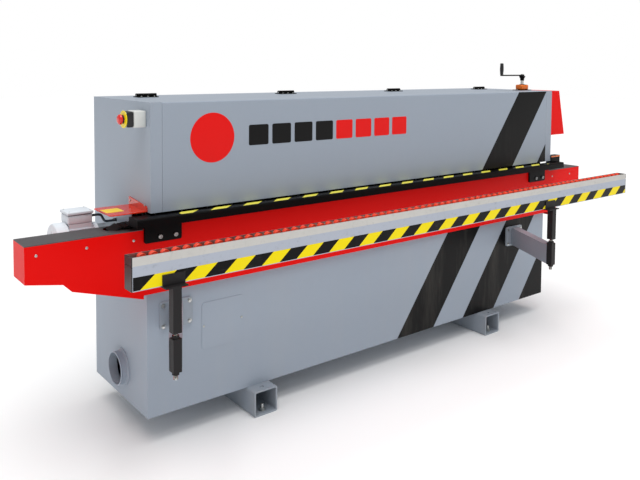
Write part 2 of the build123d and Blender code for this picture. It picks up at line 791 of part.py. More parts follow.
with BuildPart() as pressure_ledge:
    # nose with the ledge, hollow
    block((left - beam_stub, right + beam_stub_right), (front - ledge_reach, slot_front),
          (ledge_base, ledge_top))
    nose = pressure_ledge.edges().filter_by(Axis.X).group_by(Axis.Y)[0]
    fillet(nose.sort_by(Axis.Z)[-1], radius=8)
    block((left - beam_stub + ledge_sheet, right + beam_stub_right - ledge_sheet),
          (front - ledge_reach + ledge_sheet, slot_front - ledge_sheet),
          (ledge_base + ledge_sheet, ledge_top - ledge_sheet), Mode.SUBTRACT)

with BuildPart() as ledge_ends:
    # end blocks that reach back beside the hood, solids of their own behind the nose
    block((left - beam_stub, left - 2), (slot_front, front - 20), (web_top, ledge_top))
    block((right + 2, right + stop_block_reach), (slot_front, front - 10), (web_top, stop_block_top))
save(Compound(pressure_ledge.part.solids() + ledge_ends.part.solids()), "pressure_ledge")

with BuildPart() as pressure_web:
    # web below the hood front, a solid of its own in front of the channel
    block((left - beam_stub, right + beam_stub_right), (slot_front, plate_front),
          (ledge_base, web_top))

with BuildPart() as pressure_beam:
    # channel that carries the wheels
    block((inner_left, inner_right), (plate_front, plate_front + inner_wall),
          (ledge_base, inner_top))
    block((inner_left, inner_right), (plate_front, plate_back), (inner_top - inner_wall, inner_top))
    block((inner_left, inner_right), (plate_back - inner_wall, plate_back),
          (ledge_base, inner_top))
    # nut for the lifting spindle
    block((crank_x - 28, crank_x + 28), (plate_back, crank_y + 26), (inner_top - 18, inner_top))
    rod((crank_x, crank_y, inner_top - 19), "Z", spindle_radius + running_gap, 20, Mode.SUBTRACT)
    # holes for the wheel axles
    axle_count = int((inner_right - inner_left - 60) // wheel_spacing) + 1
    axle_start = middle - (axle_count - 1) * wheel_spacing / 2
    axle_xs = [axle_start + i * wheel_spacing for i in range(axle_count)]
    for x in axle_xs:
        rod((x, plate_front - 1, wheel_axis), "Y", 5, plate_back - plate_front + 2, Mode.SUBTRACT)
save(Compound(pressure_web.part.solids() + pressure_beam.part.solids()), "pressure_beam")

with BuildPart() as pressure_axles:
    for x in axle_xs:
        rod((x, plate_front, wheel_axis), "Y", 5, plate_back - plate_front)
save(pressure_axles.part, "pressure_axles")

wheel_rows = [front + chain_front + 4, front + chain_back - 4 - wheel_width]

with BuildPart() as pressure_wheels:
    for y in wheel_rows:
        with BuildSketch(Plane.XZ.offset(-y - wheel_width)):
            with Locations(*[(x, wheel_axis) for x in axle_xs]):
                Circle(wheel_radius)
                Circle(5 + running_gap, mode=Mode.SUBTRACT)
        extrude(amount=wheel_width)
save(pressure_wheels.part, "pressure_wheels")

indicator_height = 36
crank_z = hood_top + crank_height

with BuildPart() as lift_spindle:
    rod((crank_x, crank_y, bed_height + 6), "Z", spindle_radius, crank_z - bed_height - 20)
save(lift_spindle.part, "lift_spindle")

with BuildPart() as crank_arm:
    with Locations((crank_x, crank_y, crank_z - 14)):
        Cone(spindle_radius + 2, 20, 22, align=(Align.CENTER, Align.CENTER, Align.MIN))
    block((crank_x - crank_reach, crank_x), (crank_y - 9, crank_y + 9), (crank_z, crank_z + 8))
    rod((crank_x - crank_reach, crank_y, crank_z), "Z", 9, 8)
    rod((crank_x - crank_reach, crank_y, crank_z + 8), "Z", 5, grip_length - 2)
save(crank_arm.part, "crank_arm")

with BuildPart() as crank_grip:
    rod((crank_x - crank_reach, crank_y, crank_z + 8.5), "Z", grip_radius, grip_length)
    fillet(crank_grip.edges(), radius=4)
    rod((crank_x - crank_reach, crank_y, crank_z + 8), "Z", 5 + running_gap, grip_length - 1.5,
        Mode.SUBTRACT)
save(crank_grip.part, "crank_grip")

with BuildPart() as position_indicator:
    with BuildSketch(Plane.XY.offset(hood_top)):
        with Locations((crank_x, crank_y)):
            RectangleRounded(124, 70, 12)
            Circle(spindle_radius + 0.4, mode=Mode.SUBTRACT)
    extrude(amount=4)
    with BuildSketch(Plane.XY.offset(hood_top + 4)):
        with Locations((crank_x, crank_y)):
            RectangleRounded(74, 52, 10)
            Circle(spindle_radius + 0.4, mode=Mode.SUBTRACT)
    extrude(amount=indicator_height)
save(position_indicator.part, "position_indicator")

# ---- roller rail on its posts ------------------------------------------------------------------
rail_right = rail_left + rail_length
cap_length = 20
roller_count = int((rail_length - 2 * cap_length) // roller_pitch)
roller_start = (rail_left + rail_right) / 2 - (roller_count - 1) * roller_pitch / 2

with BuildPart() as support_rail:
    with BuildSketch(Plane.YZ.offset(rail_left)):
        with Locations((rail_face + rail_depth / 2, rail_base + rail_height / 2)):
            Rectangle(rail_depth, rail_height)
        for low, high in ((0, cross_wall), (cross_wall, 1)):
            with Locations((rail_face + rail_depth / 2, rail_base + rail_height * (low + high) / 2)):
                Rectangle(rail_depth - 2 * rail_wall, (high - low) * rail_height - 2 * rail_wall,
                          mode=Mode.SUBTRACT)
    extrude(amount=rail_length)
save(support_rail.part, "support_rail")

roller_axis = rail_top + roller_rise - roller_radius

with BuildPart() as roller_channel:
    with BuildSketch(Plane.YZ.offset(rail_left)):
        with Locations((rail_face + rail_depth / 2, rail_top - channel_height / 2)):
            Rectangle(rail_depth, channel_height)
        with Locations((rail_face + rail_depth / 2, rail_top - channel_height / 2 + rail_wall / 2)):
            Rectangle(rail_depth - 2 * rail_wall, channel_height - rail_wall, mode=Mode.SUBTRACT)
    extrude(amount=rail_length)
save(roller_channel.part, "roller_channel")

with BuildPart() as rail_rollers:
    centre_y = rail_face + rail_depth / 2
    for half, radius in ((roller_width / 2, roller_radius), (rail_depth / 2 - rail_wall, 4)):
        with BuildSketch(Plane.XZ.offset(-centre_y - half)):
            with Locations(*[(roller_start + i * roller_pitch, roller_axis)
                             for i in range(roller_count)]):
                Circle(radius)
        extrude(amount=2 * half)
save(rail_rollers.part, "rail_rollers")

with BuildPart() as rail_end_caps:
    for x in (rail_left - 4, rail_right):
        block((x, x + 4), (rail_face, rail_back), (rail_base, rail_top - channel_height - 1))
        block((x, x + 4), (rail_face, rail_back), (rail_top - channel_height + 1, rail_top))
save(rail_end_caps.part, "rail_end_caps")

bracket_width = 90

with BuildPart() as rail_posts:
    for x in post_xs:
        block((x - post_side / 2, x + post_side / 2), (post_y - post_side / 2, post_y + post_side / 2),
              (post_bottom, post_top))
        block((x - bracket_width / 2, x + bracket_width / 2), (rail_face - 5, rail_face),
              (post_top, rail_base + 42))
        block((x - bracket_width / 2, x + bracket_width / 2),
              (post_y - post_side / 2, rail_face + 20), (post_top, rail_base))
        rod((x, post_y, post_bottom - 1), "Z", rod_radius, 61, Mode.SUBTRACT)
save(rail_posts.part, "rail_posts")

rod_bottom = block_base - 29

with BuildPart() as post_rods:
    for x in post_xs:
        rod((x, post_y, rod_bottom), "Z", rod_radius, post_bottom + 60 - rod_bottom)
save(post_rods.part, "post_rods")

nut_height = 10

nut_height = 10

with BuildPart() as post_blocks:
    for x in post_xs:
        block((x - post_side / 2, x + post_side / 2), (post_y - post_side / 2, post_y + post_side / 2),
              (block_base, block_base + block_height))
    # a nut above and below each block
    for z in (block_base - nut_height, block_base + block_height):
        with BuildSketch(Plane.XY.offset(z)):
            with Locations(*[(x, post_y) for x in post_xs]):
                RegularPolygon(15, 6)
        extrude(amount=nut_height)
    for x in post_xs:
        rod((x, post_y, block_base - nut_height - 1), "Z", rod_radius + rod_gap,
            block_height + 2 * nut_height + 2, Mode.SUBTRACT)
save(post_blocks.part, "post_blocks")

flange_width = 152
flange_height = 118
arm_wall = 4
flange_thickness = 10

with BuildPart() as support_arms:
    for root_x, post_x in zip(arm_roots, post_xs):
        block_back = post_y + post_side / 2
        end_x = post_x + (post_side / 2) * math.tan(math.radians(arm_skew))
        # square-ended tube between the flange and the post block, leaning sideways
        reach = arm_width / 2 / math.cos(math.radians(arm_skew))
        inner = reach - arm_wall
        with BuildSketch(Plane.XY.offset(arm_base)):
            with BuildLine():
                Polyline(
                    (root_x - reach, front - flange_thickness), (root_x + reach, front - flange_thickness),
                    (end_x + reach, block_back), (end_x - reach, block_back), close=True,
                )
            make_face()
        extrude(amount=arm_height)
        with BuildSketch(Plane.XY.offset(arm_base + arm_wall)):
            with BuildLine():
                Polyline(
                    (root_x - inner, front - flange_thickness),
                    (root_x + inner, front - flange_thickness),
                    (end_x + inner, block_back), (end_x - inner, block_back), close=True,
                )
            make_face()
        extrude(amount=arm_height - 2 * arm_wall, mode=Mode.SUBTRACT)
        with BuildSketch(Plane.XZ.offset(-front)):
            with Locations((root_x, arm_base + arm_height / 2)):
                RectangleRounded(flange_width, flange_height, 12)
                with GridLocations(flange_width - 30, flange_height - 30, 2, 2):
                    Circle(5.5, mode=Mode.SUBTRACT)
        extrude(amount=flange_thickness)
save(support_arms.part, "support_arms")

# ---- edge units under the hood -----------------------------------------------------------------
glue_x = left + glue_from_end
shear_x = left + shear_from_end
press_x = left + press_from_end
saw_x = left + saw_from_end
scraper_x = left + scraper_from_end
strip_low = 925                 # height range that the edge strip needs
strip_high = 985
glue_radius = 25
press_radius = 35
pin_radius = 6
tray_base = beam_top + 2
glue_y = pass_line + glue_radius
press_y = pass_line + press_radius

with BuildPart() as glue_pot:
    block((glue_x - 80, glue_x + 80), (glue_y + glue_radius + 4, glue_y + 190), (bed_height, 1100))
    block((glue_x - 40, glue_x + 40), (pass_line + 4, glue_y + glue_radius + 4),
          (tray_base, strip_low - 3))
    block((glue_x - 60, glue_x + 60), (glue_y + glue_radius + 24, glue_y + 170),
          (940, 1101), Mode.SUBTRACT)
    rod((glue_x, glue_y, tray_base - 1), "Z", pin_radius + running_gap, 30, Mode.SUBTRACT)
save(glue_pot.part, "glue_pot")

with BuildPart() as glue_roller:
    rod((glue_x, glue_y, strip_low - 2.5), "Z", glue_radius, strip_high - strip_low)
    rod((glue_x, glue_y, tray_base), "Z", pin_radius, 20)
save(glue_roller.part, "glue_roller")

with BuildPart() as pressure_roller:
    rod((press_x, press_y, strip_low - 2.5), "Z", press_radius, strip_high - strip_low)
    rod((press_x, press_y, tray_base), "Z", pin_radius, 20)
save(pressure_roller.part, "pressure_roller")

motor_bore = 34
saw_y = pass_line + 54
saw_z = 962
upper_buff_z = 1008
lower_buff_z = 900
buff_y = pass_line + 8
buff_plate_y = pass_line + 160

with BuildPart() as unit_motors:
    rod((saw_x - 40, saw_y, saw_z), "X", motor_bore, 80)
    rod((cutter_x, trim_axis, 1020), "Z", motor_bore, 120)
    rod((cutter_x, trim_axis, 790), "Z", motor_bore, 122)
    for z in (upper_buff_z, lower_buff_z):
        rod((buff_x, buff_y + 32, z), "Y", motor_bore, buff_plate_y - buff_y - 32)
    # bores for the spindles of the moving tools
    rod((saw_x - 41, saw_y, saw_z), "X", pin_radius + running_gap, 82, Mode.SUBTRACT)
    rod((cutter_x, trim_axis, 1019), "Z", pin_radius + running_gap, 30, Mode.SUBTRACT)
    rod((cutter_x, trim_axis, 885), "Z", pin_radius + running_gap, 30, Mode.SUBTRACT)
    for z in (upper_buff_z, lower_buff_z):
        rod((buff_x, buff_y + 31, z), "Y", pin_radius + running_gap, 30, Mode.SUBTRACT)
save(unit_motors.part, "unit_motors")

with BuildPart() as edge_units:
    # press roller holder
    block((press_x - 50, press_x + 50), (press_y + press_radius + 4, press_y + 140), (bed_height, 1060))
    block((press_x - 30, press_x + 30), (pass_line + 4, press_y + press_radius + 4),
          (tray_base, strip_low - 3))
    rod((press_x, press_y, tray_base - 1), "Z", pin_radius + running_gap, 30, Mode.SUBTRACT)
    # strip shear
    block((shear_x - 20, shear_x + 20), (pass_line + 12, pass_line + 120), (bed_height, 1040))
    block((shear_x - 21, shear_x + 21), (pass_line + 11, pass_line + 40),
          (strip_low, strip_high), Mode.SUBTRACT)
    # saddle of the saw motor
    block((saw_x - 30, saw_x + 30), (saw_y - 30, saw_y + 60), (bed_height, saw_z - 12))
    rod((saw_x - 31, saw_y, saw_z), "X", motor_bore, 62, Mode.SUBTRACT)
    # seat of the lower trimming motor and column of the upper one
    block((cutter_x - 70, cutter_x + 70), (front + step_depth, trim_axis + 90),
          (bed_height, bed_height + 8))
    block((cutter_x - 45, cutter_x + 45), (trim_axis + 20, trim_axis + 60), (bed_height, 1140))
    block((cutter_x - 46, cutter_x + 46), (trim_axis + 19, trim_axis + 46), (bed_height + 8, 1030),
          Mode.SUBTRACT)
    rod((cutter_x, trim_axis, 780), "Z", motor_bore, 400, Mode.SUBTRACT)
    # scraper holder with its two blades
    block((scraper_x - 40, scraper_x + 40), (pass_line + 30, pass_line + 130), (bed_height, 1050))
    for z in (strip_low - 5, strip_high):
        block((scraper_x - 12, scraper_x + 12), (pass_line + 6, pass_line + 30), (z, z + 8))
    # plate that holds both buffing motors
    block((buff_x - 70, buff_x + 70), (buff_plate_y, buff_plate_y + 10), (bed_height, 1060))
    block((buff_x - 40, buff_x + 40), (buff_plate_y, buff_plate_y + 10), (862, bed_height))
save(edge_units.part, "edge_units")

with BuildPart() as saw_blades:
    rod((saw_x - 52, saw_y, saw_z), "X", pin_radius, 104)
    for x in (saw_x - 50, saw_x + 46):
        rod((x, saw_y, saw_z), "X", 50, 4)
save(saw_blades.part, "saw_blades")

cutter_radius = 36

with BuildPart() as trim_cutters:
    rod((cutter_x, trim_axis, 970), "Z", cutter_radius, 18)
    rod((cutter_x, trim_axis, 970), "Z", pin_radius, 75)
    rod((cutter_x, trim_axis, 915), "Z", cutter_radius, 18)
    rod((cutter_x, trim_axis, 890), "Z", pin_radius, 40)
save(trim_cutters.part, "trim_cutters")

buff_radius = 40

with BuildPart() as upper_buff:
    rod((buff_x, buff_y, upper_buff_z), "Y", buff_radius, 24)
    rod((buff_x, buff_y, upper_buff_z), "Y", pin_radius, 56)
save(upper_buff.part, "upper_buff")

with BuildPart() as lower_buff:
    rod((buff_x, buff_y, lower_buff_z), "Y", buff_radius, 24)
    rod((buff_x, buff_y, lower_buff_z), "Y", pin_radius, 56)
save(lower_buff.part, "lower_buff")

# ---- fasteners ---------------------------------------------------------------------------------
panel_screw_xs = [left + panel_left + 9, left + panel_left + panel_width - 9]
infeed_screws = [(infeed_end + 42, 890), (infeed_end + 232, 890), (left - 64, 890)]
outfeed_screws = [(right + 62, 888), (right + 260, 888)]

with BuildPart() as cover_screws:
    # pan heads on the service panel and the rear panels
    for x in panel_screw_xs:
        rod((x, front - 2 - screw_height, panel_base + panel_height / 2), "Y", screw_radius,
            screw_height)
    for x in rear_panel_xs:
        for dx in (-1, 1):
            for dz in (-1, 1):
                rod((x + dx * (rear_panel_size[0] / 2 - 20), back + 2,
                     rear_panel_z + dz * (rear_panel_size[1] / 2 - 20)), "Y", screw_radius,
                    screw_height)
    # screw heads on the end covers
    for x, z in infeed_screws + outfeed_screws:
        rod((x, apron_face - screw_height, z), "Y", screw_radius, screw_height)
    # guard screws on the hood's left end
    for y in (guard_depths[0] + 18, guard_depths[1] - 18):
        rod((left - guard_sheet - screw_height, y, hood_bottom + 26), "X", screw_radius, screw_height)
    # cap screws of the track brackets and the arm flanges
    for x0, x1 in bracket_spans:
        for x in (x0 + bracket_screw_inset + 40, x1 - bracket_screw_inset):
            rod((x, bracket_face - 7, bracket_base + 22), "Y", 9, 7)
    for x in arm_roots:
        for dx in (-1, 1):
            for dz in (-1, 1):
                rod((x + dx * (flange_width / 2 - 15), front - flange_thickness - 6,
                     arm_base + arm_height / 2 + dz * (flange_height / 2 - 15)), "Y", 8, 6)
save(cover_screws.part, "cover_screws")
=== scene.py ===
"""Edge banding machine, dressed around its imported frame.

Metres, +Z up, +X the feed direction, -Y the operator's side. Every piece takes its place from the
frame's own parts, so a change in the frame moves it.
"""
import math

import bmesh
import bpy
from mathutils import Matrix, Vector


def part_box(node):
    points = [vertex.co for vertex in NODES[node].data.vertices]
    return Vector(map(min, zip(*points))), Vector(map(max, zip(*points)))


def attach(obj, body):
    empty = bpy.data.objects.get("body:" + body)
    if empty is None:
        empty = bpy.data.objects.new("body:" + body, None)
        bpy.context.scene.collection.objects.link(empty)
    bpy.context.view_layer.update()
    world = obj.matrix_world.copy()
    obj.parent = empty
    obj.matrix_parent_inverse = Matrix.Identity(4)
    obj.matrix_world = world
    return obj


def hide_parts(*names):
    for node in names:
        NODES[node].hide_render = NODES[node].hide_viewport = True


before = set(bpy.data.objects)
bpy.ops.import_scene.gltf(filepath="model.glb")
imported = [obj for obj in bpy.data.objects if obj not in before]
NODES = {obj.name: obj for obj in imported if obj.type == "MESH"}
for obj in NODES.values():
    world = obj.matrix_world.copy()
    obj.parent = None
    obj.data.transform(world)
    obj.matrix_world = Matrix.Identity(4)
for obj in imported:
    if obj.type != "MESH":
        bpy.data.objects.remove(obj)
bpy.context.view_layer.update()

bl_info = {
    "name": "Edge Banding Machine",
    "version": (1, 0, 0),
    "blender": (4, 5, 0),
    "location": "View3D > Sidebar > Edge Bander",
    "description": "Livery, rollers, wheels, controls and studio of an edge banding machine",
    "category": "Add Mesh",
}

SMOOTH_ANGLE = math.radians(35)
AXES = {"X": Vector((1, 0, 0)), "Y": Vector((0, 1, 0)), "Z": Vector((0, 0, 1))}


def shade(red, green, blue):
    """Linear colour of a display colour that is given from 0 to 255."""
    return tuple((value / 255) ** 2.2 for value in (red, green, blue)) + (1.0,)


GREY = shade(158, 168, 181)
RED = shade(236, 14, 8)
BLACK = shade(11, 9, 10)
YELLOW = shade(250, 226, 0)
CHARCOAL = shade(82, 80, 82)
STEEL = shade(196, 194, 190)
ALUMINIUM = shade(176, 182, 194)


# ---- node trees ------------------------------------------------------------------------------

class Wires:
    """Adds nodes to one tree. An input is a plain value or the output of another node."""

    def __init__(self, tree):
        self.tree = tree

    def add(self, kind, inputs=None, **settings):
        node = self.tree.nodes.new(kind)
        for name, value in settings.items():
            setattr(node, name, value)
        for key, value in (inputs or {}).items():
            self.set(node.inputs[key], value)
        return node

    def set(self, socket, value):
        if isinstance(value, bpy.types.NodeSocket):
            self.tree.links.new(value, socket)
        else:
            socket.default_value = value

    def math(self, operation, *values, clamp=False):
        inputs = dict(enumerate(values))
        return self.add("ShaderNodeMath", inputs, operation=operation, use_clamp=clamp).outputs[0]

    def spread(self, value, low, high, new_low=0.0, new_high=1.0):
        inputs = {"Value": value, "From Min": low, "From Max": high, "To Min": new_low,
                  "To Max": new_high}
        return self.add("ShaderNodeMapRange", inputs, clamp=True).outputs["Result"]

    def noise(self, vector, scale, detail=2.0, roughness=0.5):
        inputs = {"Vector": vector, "Scale": scale, "Detail": detail, "Roughness": roughness}
        return self.add("ShaderNodeTexNoise", inputs).outputs["Fac"]

    def mix(self, factor, first, second):
        node = self.add("ShaderNodeMix", data_type="RGBA")
        self.set(node.inputs[0], factor)
        self.set(node.inputs[6], first)
        self.set(node.inputs[7], second)
        return node.outputs[2]

    def tone(self, colour, factor):
        """The colour made lighter or darker by a factor around 1."""
        return self.add("ShaderNodeVectorMath", {0: colour, "Scale": factor},
                        operation="SCALE").outputs[0]

    def stretch(self, vector, scale):
        return self.add("ShaderNodeMapping", {"Vector": vector, "Scale": scale}).outputs[0]

    def place(self):
        return self.add("ShaderNodeTexCoord").outputs["Object"]


def shared_group(name, inputs, outputs):
    """A shader group's tree with its sockets: (wires, its inputs, its outputs)."""
    tree = bpy.data.node_groups.new(name, "ShaderNodeTree")
    kinds = {"value": "NodeSocketFloat", "colour": "NodeSocketColor", "vector": "NodeSocketVector"}
    for label, kind, default in inputs:
        socket = tree.interface.new_socket(label, in_out="INPUT", socket_type=kinds[kind])
        socket.default_value = default
    for label, kind in outputs:
        tree.interface.new_socket(label, in_out="OUTPUT", socket_type=kinds[kind])
    wires = Wires(tree)
    entry = wires.add("NodeGroupInput")
    leave = wires.add("NodeGroupOutput")
    return wires, entry.outputs, leave.inputs


def build_paint_skin():
    """Powder coat: orange peel, faint clouding, and dust that runs down the panel."""
    w, given, out = shared_group(
        "Paint Skin",
        [("Colour", "colour", GREY), ("Peel Scale", "value", 420.0), ("Clouding", "value", 0.04),
         ("Dust", "value", 0.1), ("Gloss", "value", 0.38)],
        [("Colour", "colour"), ("Roughness", "value"), ("Height", "value")])
    place = w.place()
    cloud = w.noise(place, 2.1, 4.0, 0.6)
    fine = w.noise(place, 34.0, 5.0, 0.65)
    peel = w.noise(place, given["Peel Scale"], 2.0, 0.4)
    streak = w.noise(w.stretch(place, (7.0, 7.0, 0.9)), 1.0, 5.0, 0.7)
    dust = w.math("MULTIPLY", w.spread(streak, 0.5, 0.78), given["Dust"])
    swing = w.math("MULTIPLY_ADD", w.math("SUBTRACT", cloud, 0.5), given["Clouding"], 1.0)
    swing = w.math("MULTIPLY_ADD", w.math("SUBTRACT", fine, 0.5),
                   w.math("MULTIPLY", given["Clouding"], 0.6), swing)
    w.set(out["Colour"], w.mix(dust, w.tone(given["Colour"], swing), shade(196, 190, 178)))
    rough = w.math("MULTIPLY_ADD", w.math("SUBTRACT", fine, 0.5), 0.12, given["Gloss"])
    w.set(out["Roughness"], w.math("MULTIPLY_ADD", dust, 0.9, rough, clamp=True))
    w.set(out["Height"], w.math("MULTIPLY_ADD", fine, 0.35, peel))
    return w.tree


def build_diagonal_bands():
    """Slanted bands along X that rise with the given Up direction, between two ends."""
    w, given, out = shared_group(
        "Diagonal Bands",
        [("Up", "vector", (0.0, 0.0, 1.0)), ("Slope", "value", 0.75), ("Start", "value", 0.0),
         ("Pitch", "value", 0.5), ("Width", "value", 0.25), ("First", "value", 0.0),
         ("Low End", "value", -9.0), ("High End", "value", 9.0)],
        [("Mask", "value")])
    place = w.place()
    along = w.add("ShaderNodeSeparateXYZ", {0: place}).outputs["X"]
    rise = w.add("ShaderNodeVectorMath", {0: place, 1: given["Up"]},
                 operation="DOT_PRODUCT").outputs["Value"]
    offset = w.math("MULTIPLY", rise, given["Slope"])
    reach = w.math("SUBTRACT", w.math("SUBTRACT", along, offset), given["Start"])
    band = w.math("LESS_THAN", w.math("FLOORED_MODULO", reach, given["Pitch"]), given["Width"])
    inside = w.math("MULTIPLY", w.math("GREATER_THAN", along, given["Low End"]),
                    w.math("LESS_THAN", along, given["High End"]))
    band = w.math("MULTIPLY", band, w.math("GREATER_THAN", reach, given["First"]))
    w.set(out["Mask"], w.math("MULTIPLY", band, inside))
    return w.tree


def build_facing():
    """Mask of the faces that look along one direction."""
    w, given, out = shared_group("Facing", [("Direction", "vector", (0.0, -1.0, 0.0))],
                                 [("Mask", "value")])
    normal = w.add("ShaderNodeTexCoord").outputs["Normal"]
    along = w.add("ShaderNodeVectorMath", {0: normal, 1: given["Direction"]},
                  operation="DOT_PRODUCT").outputs["Value"]
    w.set(out["Mask"], w.math("GREATER_THAN", along, 0.7))
    return w.tree


def build_scuffs():
    """Thin handling marks, longer along one direction."""
    w, given, out = shared_group(
        "Scuffs", [("Grain", "vector", (9.0, 160.0, 160.0)), ("Amount", "value", 0.3)],
        [("Mask", "value")])
    place = w.place()
    mark = w.noise(w.stretch(place, given["Grain"]), 1.0, 3.0, 0.6)
    where = w.noise(place, 5.0, 3.0, 0.6)
    mark = w.math("MULTIPLY", w.spread(mark, 0.6, 0.72), w.spread(where, 0.45, 0.7))
    w.set(out["Mask"], w.math("MULTIPLY", mark, given["Amount"], clamp=True))
    return w.tree


def build_metal_grain():
    """Rolled or brushed metal: long fine lines, soft clouds and dull spots."""
    w, given, out = shared_group(
        "Metal Grain",
        [("Colour", "colour", STEEL), ("Grain", "vector", (3.0, 700.0, 700.0)),
         ("Contrast", "value", 0.16), ("Gloss", "value", 0.32)],
        [("Colour", "colour"), ("Roughness", "value"), ("Height", "value")])
    place = w.place()
    line = w.noise(w.stretch(place, given["Grain"]), 1.0, 4.0, 0.7)
    cloud = w.noise(place, 6.0, 4.0, 0.6)
    spot = w.spread(w.noise(place, 60.0, 3.0, 0.6), 0.58, 0.75)
    swing = w.math("ADD", w.math("SUBTRACT", line, 0.5), w.math("SUBTRACT", cloud, 0.5))
    swing = w.math("MULTIPLY_ADD", swing, given["Contrast"], 1.0)
    swing = w.math("MULTIPLY_ADD", spot, -0.08, swing)
    w.set(out["Colour"], w.tone(given["Colour"], swing))
    rough = w.math("MULTIPLY_ADD", w.math("SUBTRACT", line, 0.5), 0.3, given["Gloss"])
    w.set(out["Roughness"], w.math("MULTIPLY_ADD", spot, 0.15, rough, clamp=True))
    w.set(out["Height"], line)
    return w.tree


def build_cast_skin():
    """Painted casting: sandy skin with darker hollows."""
    w, given, out = shared_group(
        "Cast Skin", [("Colour", "colour", ALUMINIUM), ("Sand Scale", "value", 260.0)],
        [("Colour", "colour"), ("Roughness", "value"), ("Height", "value")])
    place = w.place()
    sand = w.noise(place, given["Sand Scale"], 4.0, 0.65)
    cloud = w.noise(place, 14.0, 4.0, 0.6)
    swing = w.math("MULTIPLY_ADD", w.math("SUBTRACT", sand, 0.5), 0.16, 1.0)
    swing = w.math("MULTIPLY_ADD", w.math("SUBTRACT", cloud, 0.5), 0.12, swing)
    w.set(out["Colour"], w.tone(given["Colour"], swing))
    w.set(out["Roughness"], w.spread(sand, 0.3, 0.7, 0.42, 0.62))
    w.set(out["Height"], w.math("MULTIPLY_ADD", cloud, 0.6, sand))
    return w.tree


def build_moulded_grain():
    """Moulded plastic or rubber: fine spark-eroded texture with handled, shinier areas."""
    w, given, out = shared_group(
        "Moulded Grain",
        [("Colour", "colour", BLACK), ("Grain Scale", "value", 900.0), ("Gloss", "value", 0.45)],
        [("Colour", "colour"), ("Roughness", "value"), ("Height", "value")])
    place = w.place()
    grain = w.noise(place, given["Grain Scale"], 2.0, 0.5)
    worn = w.noise(place, 22.0, 4.0, 0.6)
    swing = w.math("MULTIPLY_ADD", w.math("SUBTRACT", worn, 0.5), 0.14, 1.0)
    w.set(out["Colour"], w.tone(given["Colour"], swing))
    rough = w.math("MULTIPLY_ADD", w.math("SUBTRACT", worn, 0.5), 0.22, given["Gloss"])
    w.set(out["Roughness"], rough)
    w.set(out["Height"], grain)
    return w.tree


SHARED = {}
FINISHES = {}


def shared(name):
    """The named group's tree, built when it is first asked for."""
    makers = {
        "Paint Skin": build_paint_skin, "Diagonal Bands": build_diagonal_bands,
        "Facing": build_facing, "Scuffs": build_scuffs, "Metal Grain": build_metal_grain,
        "Cast Skin": build_cast_skin, "Moulded Grain": build_moulded_grain,
    }
    if name not in SHARED:
        SHARED[name] = makers[name]()
    return SHARED[name]


def effect(wires, name, **inputs):
    """Places a shared group with its own values and returns its outputs."""
    node = wires.add("ShaderNodeGroup", node_tree=shared(name))
    for label, value in inputs.items():
        wires.set(node.inputs[label.replace("_", " ")], value)
    return node.outputs


def new_finish(name, **sockets):
    """An empty material with a Principled shader: (material, wires, shader)."""
    material = bpy.data.materials.new(name)
    material.use_nodes = True
    material.node_tree.nodes.clear()
    wires = Wires(material.node_tree)
    shader = wires.add("ShaderNodeBsdfPrincipled")
    for label, value in sockets.items():
        shader.inputs[label.replace("_", " ")].default_value = value
    wires.add("ShaderNodeOutputMaterial", {"Surface": shader.outputs[0]})
    FINISHES[name] = material
    return material, wires, shader


def wear_surface(wires, shader, outputs, depth, strength=0.5):
    """Feeds a group's colour, roughness and height into the shader."""
    wires.set(shader.inputs["Base Color"], outputs["Colour"])
    wires.set(shader.inputs["Roughness"], outputs["Roughness"])
    bump = wires.add("ShaderNodeBump", {"Strength": strength, "Distance": depth,
                                        "Height": outputs["Height"]})
    wires.set(shader.inputs["Normal"], bump.outputs[0])


def paint(name, colour, gloss=0.38, clouding=0.05, dust=0.06, peel=420.0, depth=0.00012, shine=0.2):
    """Powder coat or enamel of one colour."""
    material, w, shader = new_finish(name, Specular_IOR_Level=shine)
    skin = effect(w, "Paint Skin", Colour=colour, Peel_Scale=peel, Clouding=clouding, Dust=dust,
                  Gloss=gloss)
    wear_surface(w, shader, skin, depth)
    return material


def metal(name, colour, grain=(3.0, 700.0, 700.0), contrast=0.16, gloss=0.32, depth=0.00004):
    """Bare rolled, ground or plated metal."""
    material, w, shader = new_finish(name, Metallic=1.0)
    skin = effect(w, "Metal Grain", Colour=colour, Grain=grain, Contrast=contrast, Gloss=gloss)
    wear_surface(w, shader, skin, depth, 0.35)
    return material


def cast(name, colour, sand=260.0):
    """Painted casting."""
    material, w, shader = new_finish(name, Specular_IOR_Level=0.4)
    wear_surface(w, shader, effect(w, "Cast Skin", Colour=colour, Sand_Scale=sand), 0.0004)
    return material


def moulded(name, colour, gloss=0.42, grain=900.0, coat=0.0):
    """Moulded plastic or rubber."""
    material, w, shader = new_finish(name, Coat_Weight=coat, Coat_Roughness=0.12)
    skin = effect(w, "Moulded Grain", Colour=colour, Grain_Scale=grain, Gloss=gloss)
    wear_surface(w, shader, skin, 0.00008)
    return material


def banded_paint(name, start, first, low, high, settings):
    """Grey powder coat with the wide black bands on its front."""
    material, w, shader = new_finish(name, Specular_IOR_Level=0.15)
    bands = effect(w, "Diagonal Bands", Slope=settings.slope, Start=start, Pitch=settings.pitch,
                   Width=settings.width, First=first, Low_End=low, High_End=high)["Mask"]
    front = effect(w, "Facing", Direction=(0.0, -1.0, 0.0))["Mask"]
    mask = w.math("MULTIPLY", bands, front)
    colour = w.mix(mask, tuple(settings.grey), tuple(settings.black))
    return material, w, shader, colour


